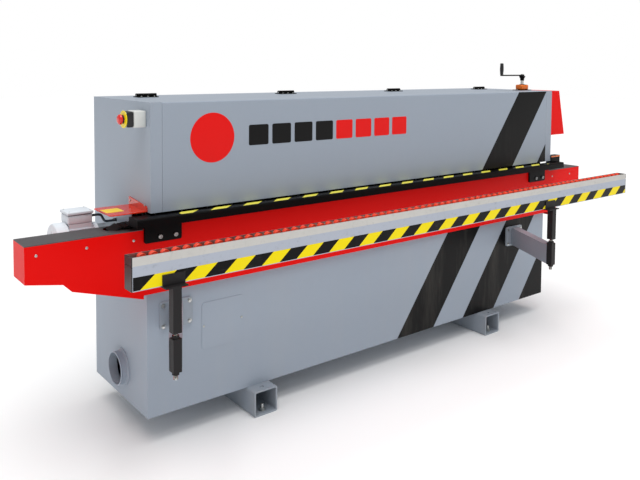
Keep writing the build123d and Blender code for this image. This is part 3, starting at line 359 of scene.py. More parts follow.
def tape_film(name, up, slope, start, pitch, first_colour, second_colour, gloss=0.3):
    """Warning tape: two colours in slanted patches of equal width, rubbed by passing panels."""
    material, w, shader = new_finish(name, Specular_IOR_Level=0.15)
    mask = effect(w, "Diagonal Bands", Up=up, Slope=slope, Start=start, Pitch=pitch,
                  Width=pitch / 2, First=-99.0)["Mask"]
    colour = w.mix(mask, first_colour, second_colour)
    rubbed = effect(w, "Scuffs", Grain=(14.0, 240.0, 240.0), Amount=0.16)["Mask"]
    colour = w.mix(rubbed, colour, shade(150, 148, 140))
    skin = effect(w, "Paint Skin", Colour=colour, Peel_Scale=240.0, Clouding=0.05, Dust=0.02,
                  Gloss=gloss)
    wear_surface(w, shader, skin, 0.00006, 0.3)
    return material


# ---- meshes ----------------------------------------------------------------------------------

def turned_to(axis):
    """Rotation that takes +Z to the given direction."""
    direction = AXES[axis] if isinstance(axis, str) else Vector(axis)
    return direction.to_track_quat("Z", "Y").to_matrix().to_4x4()


class Piece:
    """Collects the solids of one piece, each with its own finish."""

    def __init__(self, place=None):
        self.mesh = bpy.data.meshes.new("piece")
        self.whole = bmesh.new()
        self.finishes = []
        self.place = place or Matrix.Identity(4)

    def join(self, solid, finish, bevel=0.0, segments=2):
        """Rounds a solid's sharp edges and adds it."""
        bmesh.ops.remove_doubles(solid, verts=solid.verts, dist=1e-6)
        bmesh.ops.recalc_face_normals(solid, faces=solid.faces)
        if bevel:
            sharp = [e for e in solid.edges
                     if len(e.link_faces) == 2 and e.calc_face_angle(0) > SMOOTH_ANGLE]
            bmesh.ops.bevel(solid, geom=sharp, offset=bevel, segments=segments, profile=0.5,
                            affect="EDGES", clamp_overlap=True)
        if finish not in self.finishes:
            self.finishes.append(finish)
        index = self.finishes.index(finish)
        for face in solid.faces:
            face.material_index = index
            face.smooth = True
        holder = bpy.data.meshes.new("solid")
        solid.to_mesh(holder)
        solid.free()
        self.whole.from_mesh(holder)
        bpy.data.meshes.remove(holder)

    def box(self, low, high, finish, bevel=0.0, segments=2):
        solid = bmesh.new()
        bmesh.ops.create_cube(solid, size=1.0)
        low, high = Vector(low), Vector(high)
        size = high - low
        for vertex in solid.verts:
            vertex.co = (low + high) / 2 + Vector([c * s for c, s in zip(vertex.co, size)])
        self.join(solid, finish, bevel, segments)

    def lathe(self, origin, axis, profile, finish, steps=32, bevel=0.0):
        """Turns (radius, height) points round an axis; both ends close on it."""
        solid = bmesh.new()
        turn = Matrix.Translation(Vector(origin)) @ turned_to(axis)
        rings = []
        for radius, height in profile:
            if radius < 1e-6:
                rings.append([solid.verts.new(turn @ Vector((0, 0, height)))])
                continue
            angles = [2 * math.pi * i / steps for i in range(steps)]
            rings.append([solid.verts.new(turn @ Vector((radius * math.cos(a),
                                                         radius * math.sin(a), height)))
                          for a in angles])
        for first, second in zip(rings, rings[1:]):
            for i in range(steps):
                j = (i + 1) % steps
                if len(first) == 1:
                    solid.faces.new((first[0], second[i], second[j]))
                elif len(second) == 1:
                    solid.faces.new((first[i], first[j], second[0]))
                else:
                    solid.faces.new((first[i], first[j], second[j], second[i]))
        if len(rings[0]) > 1 and len(rings[-1]) > 1:
            for i in range(steps):
                j = (i + 1) % steps
                solid.faces.new((rings[-1][i], rings[-1][j], rings[0][j], rings[0][i]))
        self.join(solid, finish, bevel)

    def prism(self, outline, place, thickness, finish, bevel=0.0, segments=2):
        """A flat outline of (u, v) points, given a thickness along its plane's own Z."""
        solid = bmesh.new()
        bottom = [solid.verts.new(place @ Vector((u, v, 0))) for u, v in outline]
        top = [solid.verts.new(place @ Vector((u, v, thickness))) for u, v in outline]
        solid.faces.new(bottom)
        solid.faces.new(top)
        for i in range(len(outline)):
            j = (i + 1) % len(outline)
            solid.faces.new((bottom[i], bottom[j], top[j], top[i]))
        self.join(solid, finish, bevel, segments)

    def build(self, name, body, replaces=()):
        """The finished object, at the origin, riding on its body."""
        self.whole.transform(self.place)
        self.whole.to_mesh(self.mesh)
        self.whole.free()
        self.mesh.name = name
        for finish in self.finishes:
            self.mesh.materials.append(finish)
        self.mesh.set_sharp_from_angle(angle=SMOOTH_ANGLE)
        piece = bpy.data.objects.new(name, self.mesh)
        bpy.context.scene.collection.objects.link(piece)
        return settle(piece, body, replaces)


def settle(piece, body, replaces=()):
    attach(piece, body)
    if replaces:
        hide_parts(*replaces)
    return piece


def rounded(width, height, radius, steps=5):
    """Outline of a rectangle with round corners, about its centre."""
    points = []
    for turn, (sx, sy) in enumerate(((1, 1), (-1, 1), (-1, -1), (1, -1))):
        for i in range(steps + 1):
            angle = math.radians(90 * turn + 90 * i / steps)
            points.append((sx * (width / 2 - radius) + radius * math.cos(angle),
                           sy * (height / 2 - radius) + radius * math.sin(angle)))
    return points


def dress(finish, *names):
    """Gives whole frame parts one finish."""
    for name in names:
        part = NODES[name]
        if not part.material_slots:
            part.data.materials.append(finish)
        for place in part.material_slots:
            place.material = finish


def solids_of(name):
    """Lowest and highest corner of each separate solid of a frame part, from left to right."""
    work = bmesh.new()
    work.from_mesh(NODES[name].data)
    bmesh.ops.remove_doubles(work, verts=work.verts, dist=1e-5)
    seen, found = set(), []
    for start in work.verts:
        if start in seen:
            continue
        seen.add(start)
        island, queue = [], [start]
        while queue:
            vertex = queue.pop()
            island.append(vertex.co.copy())
            for edge in vertex.link_edges:
                other = edge.other_vert(vertex)
                if other not in seen:
                    seen.add(other)
                    queue.append(other)
        found.append((Vector([min(c[i] for c in island) for i in range(3)]),
                      Vector([max(c[i] for c in island) for i in range(3)])))
    work.free()
    return sorted(found, key=lambda box: [round(v, 4) for v in (*box[0], *box[1])])


# ---- repeated parts --------------------------------------------------------------------------

def tree_for_repeats(name, inputs):
    """A geometry tree with named inputs, and its entry and exit."""
    tree = bpy.data.node_groups.new(name, "GeometryNodeTree")
    tree.interface.new_socket("Geometry", in_out="INPUT", socket_type="NodeSocketGeometry")
    for label, kind in inputs:
        tree.interface.new_socket(label, in_out="INPUT", socket_type=kind)
    tree.interface.new_socket("Geometry", in_out="OUTPUT", socket_type="NodeSocketGeometry")
    wires = Wires(tree)
    return wires, wires.add("NodeGroupInput").outputs, wires.add("NodeGroupOutput").inputs


def close_repeats(wires, instances, finish, leave):
    """Turns the instances into a mesh with one finish."""
    real = wires.add("GeometryNodeRealizeInstances", {"Geometry": instances})
    coated = wires.add("GeometryNodeSetMaterial", {"Geometry": real.outputs[0], "Material": finish})
    wires.set(leave["Geometry"], coated.outputs[0])


def build_parts_at_places():
    """One part on every point, its own Z along the point's facing direction."""
    w, given, leave = tree_for_repeats("Parts at Places", [
        ("Part", "NodeSocketObject"), ("Size", "NodeSocketFloat"), ("Finish", "NodeSocketMaterial")])
    facing = w.add("GeometryNodeInputNamedAttribute", {"Name": "facing"}, data_type="FLOAT_VECTOR")
    turn = w.add("FunctionNodeAlignRotationToVector", {"Vector": facing.outputs[0]}, axis="Z")
    part = w.add("GeometryNodeObjectInfo", {"Object": given["Part"]})
    spread = w.add("GeometryNodeInstanceOnPoints",
                   {"Points": given["Geometry"], "Instance": part.outputs["Geometry"],
                    "Rotation": turn.outputs[0], "Scale": given["Size"]})
    close_repeats(w, spread.outputs[0], given["Finish"], leave)
    return w.tree


def build_parts_round_loop():
    """A number of equal parts spaced round a closed loop, their own X along it."""
    w, given, leave = tree_for_repeats("Parts round Loop", [
        ("Part", "NodeSocketObject"), ("Count", "NodeSocketInt"), ("Finish", "NodeSocketMaterial")])
    loop = w.add("GeometryNodeMeshToCurve", {"Mesh": given["Geometry"]})
    even = w.add("GeometryNodeResampleCurve", {"Curve": loop.outputs[0], "Count": given["Count"]},
                 mode="COUNT")
    tangent = w.add("GeometryNodeInputTangent")
    turn = w.add("FunctionNodeAlignRotationToVector", {"Vector": tangent.outputs[0]}, axis="X",
                 pivot_axis="Y")
    part = w.add("GeometryNodeObjectInfo", {"Object": given["Part"]})
    spread = w.add("GeometryNodeInstanceOnPoints",
                   {"Points": even.outputs[0], "Instance": part.outputs["Geometry"],
                    "Rotation": turn.outputs[0]})
    close_repeats(w, spread.outputs[0], given["Finish"], leave)
    return w.tree


def build_parts_in_row():
    """A number of equal parts in a straight row."""
    w, given, leave = tree_for_repeats("Parts in Row", [
        ("Start", "NodeSocketVector"), ("Step", "NodeSocketVector"), ("Count", "NodeSocketInt"),
        ("Finish", "NodeSocketMaterial")])
    row = w.add("GeometryNodeMeshLine", {"Count": given["Count"], "Start Location": given["Start"],
                                         "Offset": given["Step"]}, mode="OFFSET")
    spread = w.add("GeometryNodeInstanceOnPoints",
                   {"Points": row.outputs[0], "Instance": given["Geometry"]})
    close_repeats(w, spread.outputs[0], given["Finish"], leave)
    return w.tree


REPEATS = {}


def repeat(kind, source, name, body, slot, replaces=(), **values):
    """Runs a repeat tree on a mesh object and keeps the result as one plain mesh."""
    makers = {"places": build_parts_at_places, "loop": build_parts_round_loop,
              "row": build_parts_in_row}
    if kind not in REPEATS:
        REPEATS[kind] = makers[kind]()
    modifier = source.modifiers.new("repeat", "NODES")
    modifier.node_group = REPEATS[kind]
    ids = {item.name: item.identifier for item in REPEATS[kind].interface.items_tree
           if item.in_out == "INPUT"}
    for label, value in values.items():
        modifier[ids[label]] = value
    bpy.context.view_layer.update()
    depsgraph = bpy.context.evaluated_depsgraph_get()
    mesh = bpy.data.meshes.new_from_object(source.evaluated_get(depsgraph), depsgraph=depsgraph)
    mesh.name = name
    mesh.set_sharp_from_angle(angle=SMOOTH_ANGLE)
    source.modifiers.remove(modifier)
    bpy.data.objects.remove(source)
    piece = bpy.data.objects.new(name, mesh)
    bpy.context.scene.collection.objects.link(piece)
    return settle(piece, body, replaces)


def loose_object(name, mesh):
    """A working object that doesn't stay in the scene."""
    holder = bpy.data.objects.new(name, mesh)
    bpy.context.scene.collection.objects.link(holder)
    return holder


def pattern(piece):
    """The solids collected so far, as a working object at the origin."""
    piece.whole.to_mesh(piece.mesh)
    piece.whole.free()
    for finish in piece.finishes:
        piece.mesh.materials.append(finish)
    return loose_object("pattern", piece.mesh)


def marked_places(places):
    """A mesh of points, each with the direction that its part faces."""
    mesh = bpy.data.meshes.new("places")
    mesh.from_pydata([tuple(point) for point, _ in places], [], [])
    facing = mesh.attributes.new("facing", "FLOAT_VECTOR", "POINT")
    facing.data.foreach_set("vector", [c for _, direction in places for c in direction])
    return loose_object("places", mesh)


def at_places(piece, places, name, body, slot, finish, replaces=(), size=1.0):
    """One pattern on many places."""
    part = pattern(piece)
    made = repeat("places", marked_places(places), name, body, slot, replaces,
                  Part=part, Size=size, Finish=finish)
    bpy.data.objects.remove(part)
    return made


def pan_head(radius, height):
    """Cross-recess pan head on the origin, facing +Z."""
    head = Piece()
    rim = [(0, 0), (radius, 0), (radius, height * 0.45), (radius * 0.8, height * 0.85),
           (radius * 0.45, height), (radius * 0.3, height), (radius * 0.22, height * 0.5),
           (0, height * 0.45)]
    head.lathe((0, 0, 0), "Z", rim, FINISHES["Zinc screws"], steps=16)
    return head


def socket_head(radius, height, finish):
    """Cap screw with a hexagon socket, facing +Z."""
    head = Piece()
    rim = [(0, 0), (radius, 0), (radius, height * 0.8), (radius * 0.88, height),
           (radius * 0.55, height), (radius * 0.5, height * 0.4), (0, height * 0.35)]
    head.lathe((0, 0, 0), "Z", rim, finish, steps=18)
    return head


def hexagon_head(radius, height, finish):
    """Hexagon head on a washer, facing +Z."""
    head = Piece()
    head.lathe((0, 0, 0), "Z", [(0, 0), (radius * 1.25, 0), (radius * 1.25, height * 0.2),
                                (0, height * 0.2)], finish, steps=20)
    head.lathe((0, 0, 0), "Z", [(0, height * 0.2), (radius, height * 0.2), (radius, height * 0.9),
                                (radius * 0.85, height), (0, height)], finish, steps=6)
    return head


# ---- settings --------------------------------------------------------------------------------

class BandSettings(bpy.types.PropertyGroup):
    """Black bands across the hood and the base."""
    grey: bpy.props.FloatVectorProperty(
        name="Panel Grey", description="Paint of the hood and the base", subtype="COLOR", size=4,
        min=0, max=1, default=GREY)
    black: bpy.props.FloatVectorProperty(
        name="Band Black", description="Paint of the bands", subtype="COLOR", size=4,
        min=0, max=1, default=BLACK)
    slope: bpy.props.FloatProperty(
        name="Slope", description="How far a band leans for each metre of height", default=0.745)
    width: bpy.props.FloatProperty(
        name="Width", description="Width of a band along the machine", default=0.286, unit="LENGTH")
    pitch: bpy.props.FloatProperty(
        name="Pitch", description="From one band to the next", default=0.537, unit="LENGTH")
    hood_start: bpy.props.FloatProperty(
        name="Start at Hood Top", description="First band's left edge before the hood's right end",
        default=0.3435, unit="LENGTH")


class FrontMarkSettings(bpy.types.PropertyGroup):
    """Plain disc and blocks on the front of the hood."""
    left: bpy.props.FloatProperty(
        name="Left Edge", description="Left edge of the disc, from the hood's left end",
        default=0.178, unit="LENGTH")
    disc: bpy.props.FloatProperty(
        name="Disc", description="Diameter of the disc", default=0.215, unit="LENGTH")
    block_height: bpy.props.FloatProperty(
        name="Block Height", description="Height of the blocks", default=0.092, unit="LENGTH")
    block_width: bpy.props.FloatProperty(
        name="Block Width", description="Width of one block", default=0.105, unit="LENGTH")
    block_step: bpy.props.FloatProperty(
        name="Block Step", description="From one block to the next", default=0.1255,
        unit="LENGTH")
    middle_height: bpy.props.FloatProperty(
        name="Middle Height", description="Middle of the blocks above the floor", default=1.291,
        unit="LENGTH")


class TapeSettings(bpy.types.PropertyGroup):
    """Warning tape on the rail and on the pressure ledge."""
    pitch: bpy.props.FloatProperty(
        name="Pitch", description="One yellow and one black patch together", default=0.170,
        unit="LENGTH")
    ledge_pitch: bpy.props.FloatProperty(
        name="Ledge Pitch", description="Yellow and black patch together, on the ledge",
        default=0.1609, unit="LENGTH")
    slope: bpy.props.FloatProperty(
        name="Slope", description="How far a patch leans for each metre of height", default=1.17)
    height: bpy.props.FloatProperty(
        name="Height", description="Height of the tape on the rail", default=0.048, unit="LENGTH")
    yellow: bpy.props.FloatVectorProperty(
        name="Yellow", description="Light patches", subtype="COLOR", size=4, min=0, max=1,
        default=YELLOW)


class TrackSettings(bpy.types.PropertyGroup):
    """Covers and feed chain."""
    red: bpy.props.FloatVectorProperty(
        name="Cover Red", description="Paint of the covers", subtype="COLOR", size=4, min=0, max=1,
        default=RED)
    pads: bpy.props.IntProperty(
        name="Chain Pads", description="Pads on the whole feed chain", default=127, min=20)


class RollerSettings(bpy.types.PropertyGroup):
    """Support rollers on the rail."""
    colour: bpy.props.FloatVectorProperty(
        name="Roller Colour", description="Moulded rollers", subtype="COLOR", size=4, min=0, max=1,
        default=shade(244, 70, 36))


class StageSettings(bpy.types.PropertyGroup):
    """Camera and light."""
    lens: bpy.props.FloatProperty(
        name="Lens", description="Focal length in millimetres", default=39.757)
    world: bpy.props.FloatProperty(
        name="Surround", description="Brightness of the surround", default=0.49)


class BanderSettings(bpy.types.PropertyGroup):
    """All settings of the machine."""
    bands: bpy.props.PointerProperty(type=BandSettings)
    front_mark: bpy.props.PointerProperty(type=FrontMarkSettings)
    tape: bpy.props.PointerProperty(type=TapeSettings)
    track: bpy.props.PointerProperty(type=TrackSettings)
    rollers: bpy.props.PointerProperty(type=RollerSettings)
    stage: bpy.props.PointerProperty(type=StageSettings)


class BanderStep:
    """Common part of every operator of this add-on."""
    bl_options = {"REGISTER", "UNDO"}

    def execute(self, context):
        self.make(context.scene.edge_bander)
        return {"FINISHED"}


# ---- operators -------------------------------------------------------------------------------

class BANDER_OT_finishes(BanderStep, bpy.types.Operator):
    """Mix the paints, metals and plastics that several pieces share"""
    bl_idname = "bander.finishes"
    bl_label = "Mix Finishes"

    def make(self, settings):
        grey = tuple(settings.bands.grey)
        paint("Grey powder coat", grey)
        paint("Grey foot paint", shade(150, 158, 168), gloss=0.45, dust=0.2)
        paint("Red powder coat", tuple(settings.track.red), gloss=0.4, clouding=0.06, dust=0.0,
              shine=0.1)
        paint("Charcoal textured coat", CHARCOAL, gloss=0.5, peel=900.0, depth=0.0002)
        paint("Black enamel", BLACK, gloss=0.4, clouding=0.2, dust=0.0, shine=0.12)
        paint("Black textured coat", shade(38, 36, 37), gloss=0.5, clouding=0.2, peel=700.0,
              depth=0.0002)
        metal("Zinc screws", shade(190, 192, 190), (200.0, 200.0, 200.0), 0.1, 0.3)
        metal("Rolled steel channel", STEEL, (2.5, 500.0, 500.0), 0.2, 0.34)
        metal("Anodised aluminium", ALUMINIUM, (2.0, 900.0, 900.0), 0.08, 0.38)
        metal("Ground steel", shade(206, 206, 202), (300.0, 300.0, 30.0), 0.15, 0.25)
        metal("Oiled chain steel", shade(88, 84, 80), (60.0, 60.0, 60.0), 0.3, 0.3)
        cast("Motor casting", shade(222, 228, 234))
        cast("Gearbox casting", shade(128, 136, 142))
        cast("Coated glue iron", shade(86, 84, 86), 400.0)
        cast("Unit castings", shade(150, 152, 156), 320.0)
        moulded("Black rubber", shade(30, 29, 30), 0.7, 500.0)
        moulded("Black plastic", shade(32, 31, 33), 0.42)
        moulded("Cable sheath", shade(34, 36, 44), 0.45, 300.0)
        moulded("Light grey plastic", shade(216, 218, 214), 0.42)
        moulded("Red plastic", shade(222, 26, 18), 0.25, 1400.0, 0.4)
        moulded("Green plastic", shade(26, 160, 60), 0.25, 1400.0, 0.4)
        moulded("Yellow plastic", YELLOW, 0.35, 1200.0, 0.2)
        moulded("Orange plastic", shade(250, 120, 10), 0.3, 1200.0, 0.3)
        moulded("Membrane fascia", shade(40, 41, 45), 0.35, 2000.0, 0.2)


class BANDER_OT_base(BanderStep, bpy.types.Operator):
    """Paint the base with its bands, and fit its feet, panels and screws"""
    bl_idname = "bander.base"
    bl_label = "Base"

    def make(self, settings):
        bands = settings.bands
        low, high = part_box("base_frame")
        hood_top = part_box("hood_frame")[1].z
        edge = high.x - bands.hood_start
        material, w, shader, colour = banded_paint(
            "Banded base paint", edge - bands.slope * hood_top + 0.018, 0.0, low.x, high.x, bands)
        skin = effect(w, "Paint Skin", Colour=colour, Peel_Scale=420.0, Clouding=0.05, Dust=0.08,
                      Gloss=0.4)
        wear_surface(w, shader, skin, 0.00012)
        dress(material, "base_frame")
        dress(FINISHES["Grey powder coat"], "access_panels", "dust_outlet")
        dress(FINISHES["Grey foot paint"], "feet", "support_arms")
        self.rolled_rim()
        self.foot_fixings()
        self.screws()

    def rolled_rim(self):
        """Bead round the mouth of the dust outlet, and its weld to the base."""
        low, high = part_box("dust_outlet")
        middle = (low + high) / 2
        radius = 0.0725
        rim = Piece()
        wall = 0.003
        bead = [(radius - wall - 0.0005, 0.001), (radius - wall - 0.0005, 0.005),
                (radius + 0.0006, 0.006), (radius + 0.0022, 0.004), (radius + 0.0022, 0.002),
                (radius + 0.0006, 0.0)]
        rim.lathe((low.x, middle.y, middle.z), "X", bead, FINISHES["Grey powder coat"], steps=64)
        weld = [(radius - 0.001, 0.0), (radius + 0.005, 0.0), (radius - 0.001, -0.006)]
        rim.lathe((high.x - 0.003, middle.y, middle.z), "X", weld, FINISHES["Grey powder coat"],
                  steps=64)
        rim.build("dust_outlet_bead", "root")

    def foot_fixings(self):
        """Anchor nuts inside the four ends of the foot tubes."""
        places = []
        for low, high in solids_of("feet"):
            for y in (low.y + 0.033, high.y - 0.033):
                places.append((Vector(((low.x + high.x) / 2, y, 0.008)), AXES["Z"]))
        nut = hexagon_head(0.0135, 0.013, FINISHES["Zinc screws"])
        nut.lathe((0, 0, 0.012), "Z", [(0, 0), (0.008, 0), (0.008, 0.018), (0.0065, 0.02), (0, 0.02)],
                  FINISHES["Zinc screws"], steps=16)
        at_places(nut, places, "foot_anchor_nuts", "root", "steel", FINISHES["Zinc screws"])

    def screws(self):
        """Heads of all cover screws, one piece for each kind."""
        small, caps, hexagons = [], [], []
        for low, high in solids_of("cover_screws"):
            size = high - low
            middle = (low + high) / 2
            if size.x < size.y:
                small.append((Vector((high.x, middle.y, middle.z)), -AXES["X"]))
                continue
            front = middle.y < 0.1
            seat = Vector((middle.x, high.y if front else low.y, middle.z))
            kind = small if size.x < 0.012 else caps if size.x > 0.017 else hexagons
            kind.append((seat, -AXES["Y"] if front else AXES["Y"]))
        bright = FINISHES["Zinc screws"]
        at_places(pan_head(0.0055, 0.003), small, "cover_screw_heads", "root", "steel", bright,
                  ("cover_screws",))
        at_places(socket_head(0.009, 0.007, bright), caps, "bracket_cap_screws", "root", "steel",
                  bright)
        at_places(hexagon_head(0.0075, 0.006, bright), hexagons, "arm_flange_bolts", "root",
                  "steel", bright)


class BANDER_OT_hood(BanderStep, bpy.types.Operator):
    """Paint the hood with its bands and fit its hinges"""
    bl_idname = "bander.hood"
    bl_label = "Hood"

    def make(self, settings):
        bands = settings.bands
        low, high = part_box("hood_lid")
        frame_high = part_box("hood_frame")[1]
        edge = frame_high.x - bands.hood_start
        material, w, shader, colour = banded_paint(
            "Banded hood paint", edge - bands.slope * frame_high.z, 0.0, low.x, high.x, bands)
        skin = effect(w, "Paint Skin", Colour=colour, Peel_Scale=420.0, Clouding=0.05, Dust=0.03,
                      Gloss=0.36)
        wear_surface(w, shader, skin, 0.00012)
        dress(material, "hood_lid")
        dress(FINISHES["Grey powder coat"], "hood_frame")
        dress(FINISHES["Black enamel"], "hinge_fixed_leaves", "hinge_lid_leaves")
        dress(FINISHES["Ground steel"], "hinge_pins")
        self.front_mark(settings.front_mark)
        self.hinge_screws()

    def front_mark(self, mark):
        """A plain disc and a row of plain blocks on the front."""
        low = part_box("hood_lid")[0]
        film = 0.0003
        facing = Matrix(((1, 0, 0, 0), (0, 0, 1, -film), (0, 1, 0, 0), (0, 0, 0, 1)))
        red = paint("Red front film", RED, gloss=0.3, dust=0.0, peel=300.0, depth=0.00003)
        black = paint("Black front film", BLACK, gloss=0.3, dust=0.0, peel=300.0, depth=0.00003)
        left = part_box("hood_frame")[0].x + mark.left
        disc = Piece()
        disc.lathe((left + mark.disc / 2, low.y, mark.middle_height), (0, -1, 0),
                   [(0, 0), (mark.disc / 2, 0), (mark.disc / 2, film), (0, film)], red, steps=64)
        disc.build("hood_front_disc", "hood_lid")
        first = left + mark.disc + 0.075 + mark.block_width / 2
        for name, finish, slot, start in (
                ("hood_front_black_blocks", black, "black_paint", first),
                ("hood_front_red_blocks", red, "red_paint", first + 4 * mark.block_step)):
            block = Piece()
            block.prism(rounded(mark.block_width, mark.block_height, 0.008), facing, film, finish)
            repeat("row", pattern(block), name, "hood_lid", slot,
                   Start=(start, low.y, mark.middle_height), Step=(mark.block_step, 0.0, 0.0),
                   Count=4, Finish=finish)

    def hinge_screws(self):
        pin_low, pin_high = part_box("hinge_pins")
        line = (pin_low.y + pin_high.y) / 2
        for name, body, side in (("hinge_lid_leaves", "hood_lid", -1),
                                 ("hinge_fixed_leaves", "root", 1)):
            places = []
            for low, high in solids_of(name):
                top = low.z + 0.004
                for share in (0.18, 0.5, 0.82):
                    x = low.x + share * (high.x - low.x)
                    places.append((Vector((x, line + side * 0.021, top)), AXES["Z"]))
            at_places(pan_head(0.0045, 0.0022), places, name + "_screws", body, "steel",
                      FINISHES["Zinc screws"])


class BANDER_OT_track(BanderStep, bpy.types.Operator):
    """Paint the track's covers and fit the padded feed chain"""
    bl_idname = "bander.track"
    bl_label = "Track and Feed Chain"

    def make(self, settings):
        dress(FINISHES["Red powder coat"], "front_apron", "end_covers")
        dress(FINISHES["Charcoal textured coat"], "track_top_plates")
        dress(FINISHES["Black enamel"], "track_brackets")
        dress(FINISHES["Charcoal textured coat"], "track_beam")
        dress(FINISHES["Oiled chain steel"], "feed_chain", "drive_sprocket", "idler_sprocket")
        dress(FINISHES["Ground steel"], "drive_shaft", "idler_axle")
        low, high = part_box("chain_pads")
        pad_height, pad_length = 0.008, 0.045
        radius = (high.z - low.z) / 2 - pad_height / 2
        axle = (low.z + high.z) / 2
        middle_y = (low.y + high.y) / 2
        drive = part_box("drive_sprocket")
        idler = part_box("idler_sprocket")
        ends = ((drive[0].x + drive[1].x) / 2, (idler[0].x + idler[1].x) / 2)
        points = []
        for centre, start in ((ends[1], 90), (ends[0], 270)):
            for i in range(25):
                angle = math.radians(start - 180 * i / 24)
                points.append((centre + radius * math.cos(angle), middle_y,
                               axle + radius * math.sin(angle)))
        loop = bpy.data.meshes.new("loop")
        loop.from_pydata(points, [(i, (i + 1) % len(points)) for i in range(len(points))], [])
        pad = Piece()
        width = high.y - low.y
        rubber = FINISHES["Black rubber"]
        pad.box((-pad_length / 2, -width / 2, -pad_height / 2),
                (pad_length / 2, width / 2, pad_height / 2), rubber, 0.0012, 1)
        part = pattern(pad)
        repeat("loop", loose_object("loop", loop), "feed_chain_pads", "root", "pad_rubber",
               ("chain_pads",), Part=part, Count=settings.track.pads, Finish=rubber)
        bpy.data.objects.remove(part)


class BANDER_OT_pressure_beam(BanderStep, bpy.types.Operator):
    """Fit the pressure beam with its tape and its wheels"""
    bl_idname = "bander.pressure_beam"
    bl_label = "Pressure Beam"

    def make(self, settings):
        dress(FINISHES["Black enamel"], "pressure_ledge", "pressure_beam")
        dress(FINISHES["Ground steel"], "pressure_axles", "lift_spindle")
        self.wheels()
        self.tape(settings.tape)

    def wheels(self):
        places = [((low + high) / 2, AXES["Y"]) for low, high in solids_of("pressure_wheels")]
        low, high = solids_of("pressure_wheels")[0]
        radius, half = (high.z - low.z) / 2, (high.y - low.y) / 2
        wheel = Piece()
        wheel.lathe((0, 0, 0), "Z", [
            (0.0055, -half * 0.7), (radius * 0.62, -half * 0.7), (radius * 0.68, -half),
            (radius - 0.002, -half), (radius, -half + 0.002), (radius, half - 0.002),
            (radius - 0.002, half), (radius * 0.68, half), (radius * 0.62, half * 0.7),
            (0.0055, half * 0.7)], FINISHES["Black rubber"], steps=24)
        at_places(wheel, places, "pressure_wheel_set", "pressure_beam", "wheel_rubber",
                  FINISHES["Black rubber"], ("pressure_wheels",))

    def tape(self, tape):
        ledge = solids_of("pressure_ledge")
        low, high = max(ledge, key=lambda ends: ends[1].x - ends[0].x)
        lid_low, lid_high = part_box("hood_lid")
        strip = Piece()
        pale = shade(250, 240, 90)
        near, far = 0.010, 0.048    # tape behind the ledge's front edge
        first_black = 0.111         # first black patch, from the ledge's left end
        start = low.x + first_black - tape.slope * (low.y + (near + far) / 2)
        film = tape_film("Ledge warning tape", (0.0, 1.0, 0.0), tape.slope, start,
                         tape.ledge_pitch, pale, BLACK)
        strip.box((lid_low.x + 0.06, low.y + near, high.z),
                  (lid_high.x - 0.03, low.y + far, high.z + 0.0004), film, 0.0001, 1)
        strip.build("ledge_warning_tape", "pressure_beam")
        block_low, block_high = max(ledge, key=lambda ends: ends[1].z)
        stripe = Piece()
        stripe.box((block_low.x, block_low.y - 0.0006, block_high.z - 0.010),
                   (block_high.x, block_low.y, block_high.z - 0.002),
                   FINISHES["Orange plastic"], 0.0001, 1)
        stripe.build("end_block_stripe", "pressure_beam")


class BANDER_OT_roller_rail(BanderStep, bpy.types.Operator):
    """Fit the support rail with its rollers, tape and end caps"""
    bl_idname = "bander.roller_rail"
    bl_label = "Roller Rail"

    def make(self, settings):
        dress(FINISHES["Anodised aluminium"], "support_rail")
        dress(FINISHES["Rolled steel channel"], "roller_channel")
        dress(FINISHES["Black plastic"], "rail_end_caps")
        moulded("Moulded rollers", tuple(settings.rollers.colour), 0.38, 700.0, 0.15)
        self.rollers()
        self.tape(settings.tape)

    def rollers(self):
        found = solids_of("rail_rollers")
        low, high = found[0]
        middle = (low + high) / 2
        radius = (high.z - low.z) / 2
        half = 0.011
        step = found[1][0].x - low.x
        finish = FINISHES["Moulded rollers"]
        roller = Piece()
        roller.lathe((0, 0, 0), "Y", [
            (0, -half), (radius * 0.45, -half), (radius * 0.5, -half + 0.0015),
            (radius * 0.85, -half + 0.0015), (radius * 0.9, -half), (radius - 0.001, -half),
            (radius, -half + 0.0012), (radius, half - 0.0012), (radius - 0.001, half),
            (radius * 0.9, half), (radius * 0.85, half - 0.0015), (radius * 0.5, half - 0.0015),
            (radius * 0.45, half), (0, half)], finish, steps=20)
        start = (middle.x, middle.y, middle.z)
        repeat("row", pattern(roller), "support_rollers", "roller_rail", "orange_roller",
               ("rail_rollers",), Start=start, Step=(step, 0.0, 0.0), Count=len(found),
               Finish=finish)
        pin = Piece()
        reach = (high.y - low.y) / 2
        steel = FINISHES["Zinc screws"]
        pin.lathe((0, 0, 0), "Y", [(0, -reach), (0.004, -reach), (0.004, reach), (0, reach)],
                  steel, steps=10)
        repeat("row", pattern(pin), "roller_pins", "roller_rail", "steel", Start=start,
               Step=(step, 0.0, 0.0), Count=len(found), Finish=steel)

    def tape(self, tape):
        low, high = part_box("support_rail")
        edge = 0.003                # tape above the rail's lower edge
        first_black = 0.141         # first black patch, from the rail's left end
        middle = low.z + edge + tape.height / 2
        start = low.x + first_black - tape.slope * middle
        film = tape_film("Rail warning tape", (0.0, 0.0, 1.0), tape.slope, start, tape.pitch,
                         tuple(tape.yellow), BLACK)
        strip = Piece()
        strip.box((low.x + 0.002, low.y - 0.0005, low.z + edge),
                  (high.x - 0.002, low.y, low.z + edge + tape.height), film, 0.0001, 1)
        strip.build("rail_warning_tape", "roller_rail")


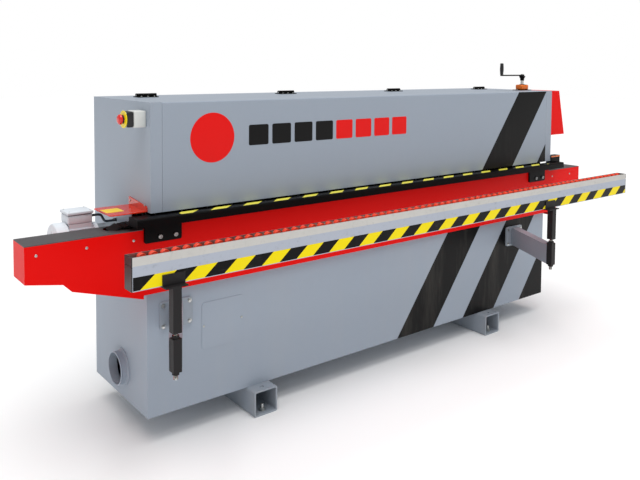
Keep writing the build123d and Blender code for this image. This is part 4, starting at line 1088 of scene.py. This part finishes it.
class BANDER_OT_posts(BanderStep, bpy.types.Operator):
    """Fit the height-adjusting posts, their threaded rods and blocks"""
    bl_idname = "bander.posts"
    bl_label = "Posts"

    def make(self, settings):
        dress(FINISHES["Black textured coat"], "rail_posts", "post_blocks")
        self.rods()

    def rods(self):
        threads = Piece()
        steel = FINISHES["Ground steel"]
        for low, high in solids_of("post_rods"):
            middle = (low + high) / 2
            radius = (high.x - low.x) / 2
            pitch = 0.0025
            turns = int((high.z - low.z) / pitch)
            profile = [(0, 0), (radius - 0.0014, 0)]
            for i in range(turns):
                profile.append((radius, (i + 0.5) * pitch))
                profile.append((radius - 0.0014, (i + 1) * pitch))
            profile.append((0, turns * pitch))
            threads.lathe((middle.x, middle.y, low.z), "Z", profile, steel, steps=20)
        threads.build("threaded_rods", "roller_rail", ("post_rods",))


class BANDER_OT_feed_motor(BanderStep, bpy.types.Operator):
    """Fit the feed motor, its terminal box, cable and glands"""
    bl_idname = "bander.feed_motor"
    bl_label = "Feed Motor"

    def make(self, settings):
        dress(FINISHES["Motor casting"], "feed_motor", "motor_cowl")
        dress(FINISHES["Gearbox casting"], "feed_gearbox")
        dress(FINISHES["Black plastic"], "motor_fan")
        dress(FINISHES["Cable sheath"], "motor_cable")
        self.terminal_box()
        self.glands()

    def terminal_box(self):
        low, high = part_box("terminal_box")
        seam = high.z - 0.014
        casting = FINISHES["Motor casting"]
        case = Piece()
        case.box((low.x + 0.004, low.y + 0.004, low.z), (high.x - 0.004, high.y - 0.004, seam - 0.001),
                 casting, 0.006, 3)
        case.box((low.x + 0.006, low.y + 0.006, seam - 0.002), (high.x - 0.006, high.y - 0.006,
                 seam + 0.002), FINISHES["Black rubber"], 0.001, 1)
        case.box((low.x, low.y, seam + 0.001), high, casting, 0.004, 3)
        for x in (low.x + 0.012, high.x - 0.012):
            for y in (low.y + 0.012, high.y - 0.012):
                case.lathe((x, y, high.z - 0.001), "Z",
                           [(0, 0), (0.0035, 0), (0.0035, 0.002), (0.0018, 0.0032), (0, 0.0028)],
                           FINISHES["Zinc screws"], steps=12)
        case.build("terminal_box_case", "root", ("terminal_box",))

    def glands(self):
        glands = Piece()
        finish = FINISHES["Black plastic"]
        for low, high in solids_of("cable_glands"):
            middle = (low + high) / 2
            length = high.x - low.x
            at_box = low.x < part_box("terminal_box")[1].x
            start = low.x if at_box else high.x
            axis = "X" if at_box else (-1, 0, 0)
            glands.lathe((start, middle.y, middle.z), axis,
                         [(0, 0), (0.010, 0), (0.010, length * 0.35), (0, length * 0.35)], finish,
                         steps=6)
            glands.lathe((start, middle.y, middle.z), axis,
                         [(0.0046, length * 0.3), (0.0092, length * 0.35), (0.0095, length * 0.75),
                          (0.0075, length), (0.0046, length)], finish, steps=24)
        glands.build("cable_gland_set", "root", ("cable_glands",))


class BANDER_OT_emergency_stop(BanderStep, bpy.types.Operator):
    """Fit the emergency stop on the infeed end"""
    bl_idname = "bander.emergency_stop"
    bl_label = "Emergency Stop"

    def make(self, settings):
        low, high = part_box("estop_box")
        middle = (low + high) / 2
        wall = high.x
        split = wall - 0.052
        front = low.x + 0.004
        half = (high.y - low.y) / 2
        case = Piece()
        grey, black = FINISHES["Light grey plastic"], FINISHES["Black plastic"]
        case.box((split, middle.y - half + 0.002, middle.z - half + 0.002),
                 (wall, middle.y + half - 0.002, middle.z + half - 0.002), grey, 0.005, 3)
        case.box((front, middle.y - half + 0.004, middle.z - half + 0.004),
                 (split - 0.0008, middle.y + half - 0.004, middle.z + half - 0.004), black, 0.006, 3)
        case.lathe((front, middle.y, middle.z), (-1, 0, 0),
                   [(0.0113, 0), (0.0355, 0), (0.036, 0.0015), (0.0355, 0.003), (0.018, 0.004),
                    (0.0113, 0.004)], FINISHES["Yellow plastic"], steps=40)
        case.lathe((front - 0.0035, middle.y, middle.z), (-1, 0, 0),
                   [(0.0113, 0), (0.0185, 0), (0.0165, 0.0035), (0.0113, 0.0035)], black, steps=32)
        for dy in (-1, 1):
            for dz in (-1, 1):
                case.lathe((front, middle.y + dy * 0.0265, middle.z + dz * 0.0265), (-1, 0, 0),
                           [(0, 0), (0.003, 0), (0.003, 0.0012), (0, 0.0012)],
                           FINISHES["Zinc screws"], steps=12)
        case.build("emergency_stop_case", "root", ("estop_box",))
        low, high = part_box("estop_button")
        crown = low.x
        button = Piece()
        red = FINISHES["Red plastic"]
        length = high.x - low.x
        button.lathe((crown, middle.y, middle.z), "X", [
            (0, 0), (0.010, 0.0003), (0.0165, 0.002), (0.0200, 0.0055), (0.0212, 0.010),
            (0.0205, 0.0135), (0.0170, 0.0150), (0.0130, 0.0165), (0.0108, 0.0200),
            (0.0108, length - 0.001), (0, length - 0.001)], red, steps=40)
        button.build("emergency_stop_button", "estop_button", ("estop_button",))


class BANDER_OT_guard(BanderStep, bpy.types.Operator):
    """Fit the tinted guard above the infeed"""
    bl_idname = "bander.guard"
    bl_label = "Infeed Guard"

    def make(self, settings):
        material, w, shader = new_finish("Tinted acrylic sheet", Transmission_Weight=0.35, IOR=1.49,
                                         Coat_Weight=0.3, Coat_Roughness=0.08)
        skin = effect(w, "Moulded Grain", Colour=shade(255, 62, 24), Grain_Scale=300.0, Gloss=0.14)
        wear_surface(w, shader, skin, 0.00002, 0.2)
        low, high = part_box("infeed_guard")
        wall, sheet = high.x, 0.005
        guard = Piece()
        depth, height = high.y - low.y, high.z - low.z
        round_off = 0.014
        side = [(0, 0), (depth, 0), (depth, height)]
        for i in range(7):
            angle = math.radians(90 + 15 * i)
            side.append((round_off * (1 + math.cos(angle)),
                         height * 0.62 - round_off * (1 - math.sin(angle))))
        upright = Matrix(((0, 0, 1, wall - sheet), (1, 0, 0, low.y), (0, 1, 0, low.z), (0, 0, 0, 1)))
        guard.prism(side, upright, sheet, material, 0.0008, 1)
        reach = wall - sheet - low.x
        corners = rounded(reach + 0.02, depth, 0.014)
        flat = [(min(u + reach / 2 + 0.01, reach), v + depth / 2) for u, v in corners]
        guard.prism(flat, Matrix.Translation((low.x, low.y, low.z)), sheet, material, 0.0008, 1)
        guard.build("infeed_guard_sheet", "root", ("infeed_guard",))
        sticker = Piece()
        film = moulded("Plain yellow film", shade(255, 214, 40), 0.35, 1500.0)
        middle_x = (low.x + wall) / 2 - 0.035
        place = Matrix.Translation((middle_x, low.y + depth * 0.5, low.z + sheet))
        sticker.prism(rounded(0.075, 0.075, 0.004), place, 0.0004, film)
        sticker.build("guard_sticker", "root")


class BANDER_OT_console(BanderStep, bpy.types.Operator):
    """Fit the control console with its fascia, keys and push buttons"""
    bl_idname = "bander.console"
    bl_label = "Control Console"

    def make(self, settings):
        dress(FINISHES["Red powder coat"], "control_console")
        low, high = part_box("console_panel")
        body_low, body_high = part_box("control_console")
        tilt = math.atan2(0.066, body_high.z - body_low.z)
        out = Vector((math.cos(tilt), 0, math.sin(tilt)))
        up = Vector((-math.sin(tilt), 0, math.cos(tilt)))
        across = Vector((0, 1, 0))
        centre = (low + high) / 2 - out * 0.002
        place = Matrix((
            (across.x, up.x, out.x, centre.x), (across.y, up.y, out.y, centre.y),
            (across.z, up.z, out.z, centre.z), (0, 0, 0, 1)))
        fascia = Piece(place)
        fascia.prism(rounded(0.180, 0.110, 0.006), Matrix.Identity(4), 0.0028,
                     FINISHES["Membrane fascia"], 0.0006, 1)
        glass, w, shader = new_finish("Display glass", Coat_Weight=0.8, Coat_Roughness=0.04)
        skin = effect(w, "Moulded Grain", Colour=shade(30, 58, 52), Grain_Scale=2500.0, Gloss=0.12)
        wear_surface(w, shader, skin, 0.00001, 0.1)
        fascia.prism(rounded(0.092, 0.036, 0.003),
                     Matrix.Translation((-0.022, 0.026, 0.0028)), 0.0008, glass)
        keys = (("Light grey plastic", -0.062), ("Light grey plastic", -0.031),
                ("Light grey plastic", 0.0), ("Light grey plastic", 0.031), ("Yellow plastic", 0.062))
        for row in (-0.010, -0.036):
            for finish, across_key in keys:
                fascia.prism(rounded(0.020, 0.014, 0.003),
                             Matrix.Translation((across_key, row, 0.0028)), 0.0011,
                             FINISHES[finish], 0.0004, 1)
        for i, finish in enumerate(("Green plastic", "Red plastic", "Yellow plastic")):
            fascia.lathe((0.045 + 0.015 * i, 0.026, 0.0028), "Z",
                         [(0, 0), (0.003, 0), (0.0024, 0.0011), (0, 0.0012)], FINISHES[finish],
                         steps=16)
        fascia.build("console_fascia", "root", ("console_panel",))
        for name, finish, slot in (("start_button", "Green plastic", "start_green"),
                                   ("stop_button", "Red plastic", "stop_red")):
            low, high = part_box(name)
            middle_y = (low.y + high.y) / 2
            centre = Vector(((low.x + high.x) / 2, middle_y, (low.z + high.z) / 2)) + out * 0.002
            cap = Piece()
            cap.lathe(centre, out, [(0, -0.0095), (0.0105, -0.0095), (0.011, 0.0035),
                                    (0.0095, 0.0052), (0.006, 0.0044), (0, 0.0042)],
                      FINISHES[finish], steps=28)
            cap.build(name + "_cap", name, (name,))
            bezel = Piece()
            bezel.lathe(centre, out, [(0.0116, 0.0), (0.015, 0.0), (0.0148, 0.0022),
                                      (0.0125, 0.0034), (0.0116, 0.0032)],
                        FINISHES["Zinc screws"], steps=28)
            bezel.build(name + "_bezel", "root")


class BANDER_OT_crank(BanderStep, bpy.types.Operator):
    """Fit the height crank, its grip and the position indicator"""
    bl_idname = "bander.crank"
    bl_label = "Height Crank"

    def make(self, settings):
        self.arm()
        self.grip()
        self.indicator()

    def arm(self):
        spindle_low, spindle_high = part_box("lift_spindle")
        axis = (spindle_low + spindle_high) / 2
        grip_low, grip_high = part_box("crank_grip")
        bar = grip_low.z - 0.0085
        tip = (grip_low.x + grip_high.x) / 2
        dark = FINISHES["Black enamel"]
        arm = Piece()
        length = axis.x - tip
        half = 0.009
        outline = []
        for i in range(13):
            angle = math.radians(90 + 15 * i)
            outline.append((half * math.cos(angle), half * math.sin(angle)))
        for i in range(13):
            angle = math.radians(-90 + 15 * i)
            outline.append((length + half * 1.5 * math.cos(angle), half * 1.5 * math.sin(angle)))
        arm.prism(outline, Matrix.Translation((tip, axis.y, bar)), 0.008, dark, 0.0012, 2)
        arm.lathe((axis.x, axis.y, bar - 0.030), "Z",
                  [(0.0101, 0), (0.0125, 0), (0.0130, 0.004), (0.0125, 0.010), (0.0165, 0.019),
                   (0.0200, 0.026), (0.0200, 0.0299), (0.0101, 0.0299)], dark, steps=32)
        arm.lathe((axis.x, axis.y, bar + 0.008), "Z",
                  [(0, 0), (0.011, 0), (0.011, 0.003), (0.006, 0.0045), (0, 0.0045)],
                  FINISHES["Zinc screws"], steps=24)
        arm.lathe((tip, axis.y, bar + 0.0079), "Z",
                  [(0, 0), (0.005, 0), (0.005, grip_high.z - bar - 0.012), (0, grip_high.z - bar - 0.012)],
                  FINISHES["Ground steel"], steps=16)
        arm.build("crank_arm_forging", "crank", ("crank_arm",))

    def grip(self):
        low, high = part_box("crank_grip")
        middle = (low + high) / 2
        height = high.z - low.z
        grip = Piece()
        profile = [(0.0, height - 0.004), (0.0052, height - 0.004), (0.0052, 0.0), (0.0095, 0.0),
                   (0.0105, 0.0015)]
        for share, radius in ((0.08, 0.0098), (0.2, 0.0108), (0.45, 0.0120), (0.7, 0.0114),
                              (0.86, 0.0104), (0.93, 0.0110), (0.98, 0.0090)):
            profile.append((radius, height * share))
        profile += [(0.005, height), (0.0, height)]
        grip.lathe((middle.x, middle.y, low.z), "Z", profile, FINISHES["Black plastic"], steps=28)
        grip.build("crank_grip_handle", "crank_grip", ("crank_grip",))

    def indicator(self):
        low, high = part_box("position_indicator")
        middle = (low + high) / 2
        orange, black = FINISHES["Orange plastic"], FINISHES["Black plastic"]
        body = Piece()
        plate = rounded(high.x - low.x, high.y - low.y, 0.012)
        body.prism(plate, Matrix.Translation((middle.x, middle.y, low.z)), 0.004,
                   FINISHES["Black enamel"], 0.0006, 1)
        body.box((middle.x - 0.037, middle.y - 0.026, low.z + 0.004),
                 (middle.x + 0.037, middle.y + 0.026, high.z - 0.003), orange, 0.008, 4)
        body.lathe((middle.x, middle.y, high.z - 0.004), "Z",
                   [(0.0106, 0), (0.017, 0), (0.0165, 0.003), (0.014, 0.004), (0.0106, 0.004)],
                   black, steps=32)
        for x in (-1, 1):
            body.lathe((middle.x + x * 0.050, middle.y, low.z + 0.004), "Z",
                       [(0, 0), (0.0055, 0), (0.005, 0.003), (0.0025, 0.0034), (0, 0.0028)],
                       FINISHES["Zinc screws"], steps=16)
        window = Matrix.Translation((middle.x, middle.y - 0.0195, high.z - 0.0034))
        body.prism(rounded(0.030, 0.0095, 0.0015), window, 0.001, black, 0.0003, 1)
        body.build("position_indicator_case", "root", ("position_indicator",))
        digits = bpy.data.curves.new("digits", "FONT")
        digits.body = "0360"
        digits.size = 0.0085
        digits.extrude = 0.0001
        digits.align_x = "CENTER"
        digits.align_y = "CENTER"
        holder = bpy.data.objects.new("digits", digits)
        bpy.context.scene.collection.objects.link(holder)
        bpy.context.view_layer.update()
        depsgraph = bpy.context.evaluated_depsgraph_get()
        mesh = bpy.data.meshes.new_from_object(holder.evaluated_get(depsgraph), depsgraph=depsgraph)
        bpy.data.objects.remove(holder)
        mesh.transform(Matrix.Translation((middle.x, middle.y - 0.0195, high.z - 0.0023)))
        mesh.materials.clear()
        mesh.materials.append(FINISHES["Light grey plastic"])
        piece = loose_object("indicator_digits", mesh)
        settle(piece, "root")


class BANDER_OT_edge_units(BanderStep, bpy.types.Operator):
    """Finish the glue pot, rollers, saws, cutters and buffing wheels below the hood"""
    bl_idname = "bander.edge_units"
    bl_label = "Edge Units"

    def make(self, settings):
        dress(FINISHES["Coated glue iron"], "glue_pot")
        dress(FINISHES["Ground steel"], "glue_roller", "pressure_roller", "saw_blades",
              "trim_cutters")
        dress(FINISHES["Unit castings"], "unit_motors", "edge_units")
        material, w, shader = new_finish("Layered cotton", Sheen_Weight=0.3)
        place = w.place()
        layer = w.noise(w.stretch(place, (60.0, 900.0, 60.0)), 1.0, 4.0, 0.6)
        tuft = w.noise(place, 500.0, 4.0, 0.7)
        colour = w.mix(w.spread(layer, 0.3, 0.7), shade(206, 196, 172), shade(232, 226, 208))
        w.set(shader.inputs["Base Color"], colour)
        w.set(shader.inputs["Roughness"], w.spread(tuft, 0.2, 0.8, 0.8, 0.97))
        bump = w.add("ShaderNodeBump", {"Strength": 0.8, "Distance": 0.0008, "Height": tuft})
        w.set(shader.inputs["Normal"], bump.outputs[0])
        dress(material, "upper_buff", "lower_buff")


class BANDER_OT_stage(BanderStep, bpy.types.Operator):
    """Set the floor, the studio light and the camera"""
    bl_idname = "bander.stage"
    bl_label = "Stage"

    def make(self, settings):
        scene = bpy.context.scene
        stage = settings.stage
        floor = bpy.data.meshes.new("studio_floor")
        reach = 30.0
        floor.from_pydata([(-reach, -reach, 0), (reach, -reach, 0), (reach, reach, 0),
                           (-reach, reach, 0)], [], [(0, 1, 2, 3)])
        material, w, shader = new_finish("Pale floor", Specular_IOR_Level=0.1)
        place = w.place()
        tone = w.noise(place, 0.8, 3.0, 0.5)
        w.set(shader.inputs["Base Color"], w.mix(tone, shade(247, 247, 247), shade(252, 252, 252)))
        w.set(shader.inputs["Roughness"], w.spread(tone, 0.0, 1.0, 0.75, 0.9))
        floor.materials.append(material)
        loose_object("studio_floor", floor)
        world = bpy.data.worlds.new("Studio surround")
        world.use_nodes = True
        surround = world.node_tree.nodes["Background"]
        surround.inputs["Color"].default_value = (1.0, 1.0, 1.0, 1.0)
        sky = Wires(world.node_tree)
        seen = sky.add("ShaderNodeLightPath").outputs["Is Camera Ray"]
        sky.set(surround.inputs["Strength"], sky.spread(seen, 0.0, 1.0, stage.world, 1.0))
        scene.world = world
        scene.view_settings.view_transform = "Standard"
        sun = bpy.data.lights.new("soft_sun", "SUN")
        sun.energy = 2.2
        sun.angle = math.radians(55)
        holder = bpy.data.objects.new("soft_sun", sun)
        scene.collection.objects.link(holder)
        holder.rotation_euler = Vector((0.08, 0.2, -1.0)).to_track_quat("-Z", "Y").to_euler()
        camera = bpy.data.cameras.new("camera")
        camera.sensor_width = 36.0
        camera.lens = stage.lens
        camera.shift_y = -0.2115
        view = bpy.data.objects.new("camera", camera)
        scene.collection.objects.link(view)
        yaw, pitch, roll = (math.radians(a) for a in (38.066, 3.2286, 0.4326))
        ahead = Vector((math.sin(yaw) * math.cos(pitch), math.cos(yaw) * math.cos(pitch),
                        -math.sin(pitch)))
        turn = ahead.to_track_quat("-Z", "Y").to_matrix().to_4x4()
        view.matrix_world = (Matrix.Translation((-2.5377, -2.8124, 1.6062)) @ turn
                             @ Matrix.Rotation(roll, 4, "Z"))
        scene.camera = view


class BANDER_PT_panel(bpy.types.Panel):
    """Sizes and colours of the machine, and the steps that make it"""
    bl_label = "Edge Banding Machine"
    bl_idname = "BANDER_PT_panel"
    bl_space_type = "VIEW_3D"
    bl_region_type = "UI"
    bl_category = "Edge Bander"

    def draw(self, context):
        settings = context.scene.edge_bander
        for group in ("bands", "front_mark", "tape", "track", "rollers", "stage"):
            box = self.layout.box()
            values = getattr(settings, group)
            for name in values.__annotations__:
                box.prop(values, name)
        for step in STEPS:
            self.layout.operator(step.bl_idname)


STEPS = (
    BANDER_OT_finishes, BANDER_OT_base, BANDER_OT_hood, BANDER_OT_track, BANDER_OT_pressure_beam,
    BANDER_OT_roller_rail, BANDER_OT_posts, BANDER_OT_feed_motor, BANDER_OT_emergency_stop,
    BANDER_OT_guard, BANDER_OT_console, BANDER_OT_crank, BANDER_OT_edge_units, BANDER_OT_stage,
)
CLASSES = (BandSettings, FrontMarkSettings, TapeSettings, TrackSettings, RollerSettings, StageSettings,
           BanderSettings) + STEPS + (BANDER_PT_panel,)


def register():
    for cls in CLASSES:
        bpy.utils.register_class(cls)
    bpy.types.Scene.edge_bander = bpy.props.PointerProperty(type=BanderSettings)


def unregister():
    del bpy.types.Scene.edge_bander
    for cls in reversed(CLASSES):
        bpy.utils.unregister_class(cls)


def main():
    register()
    for step in STEPS:
        family, name = step.bl_idname.split(".")
        getattr(getattr(bpy.ops, family), name)()


if __name__ == "__main__":
    main()
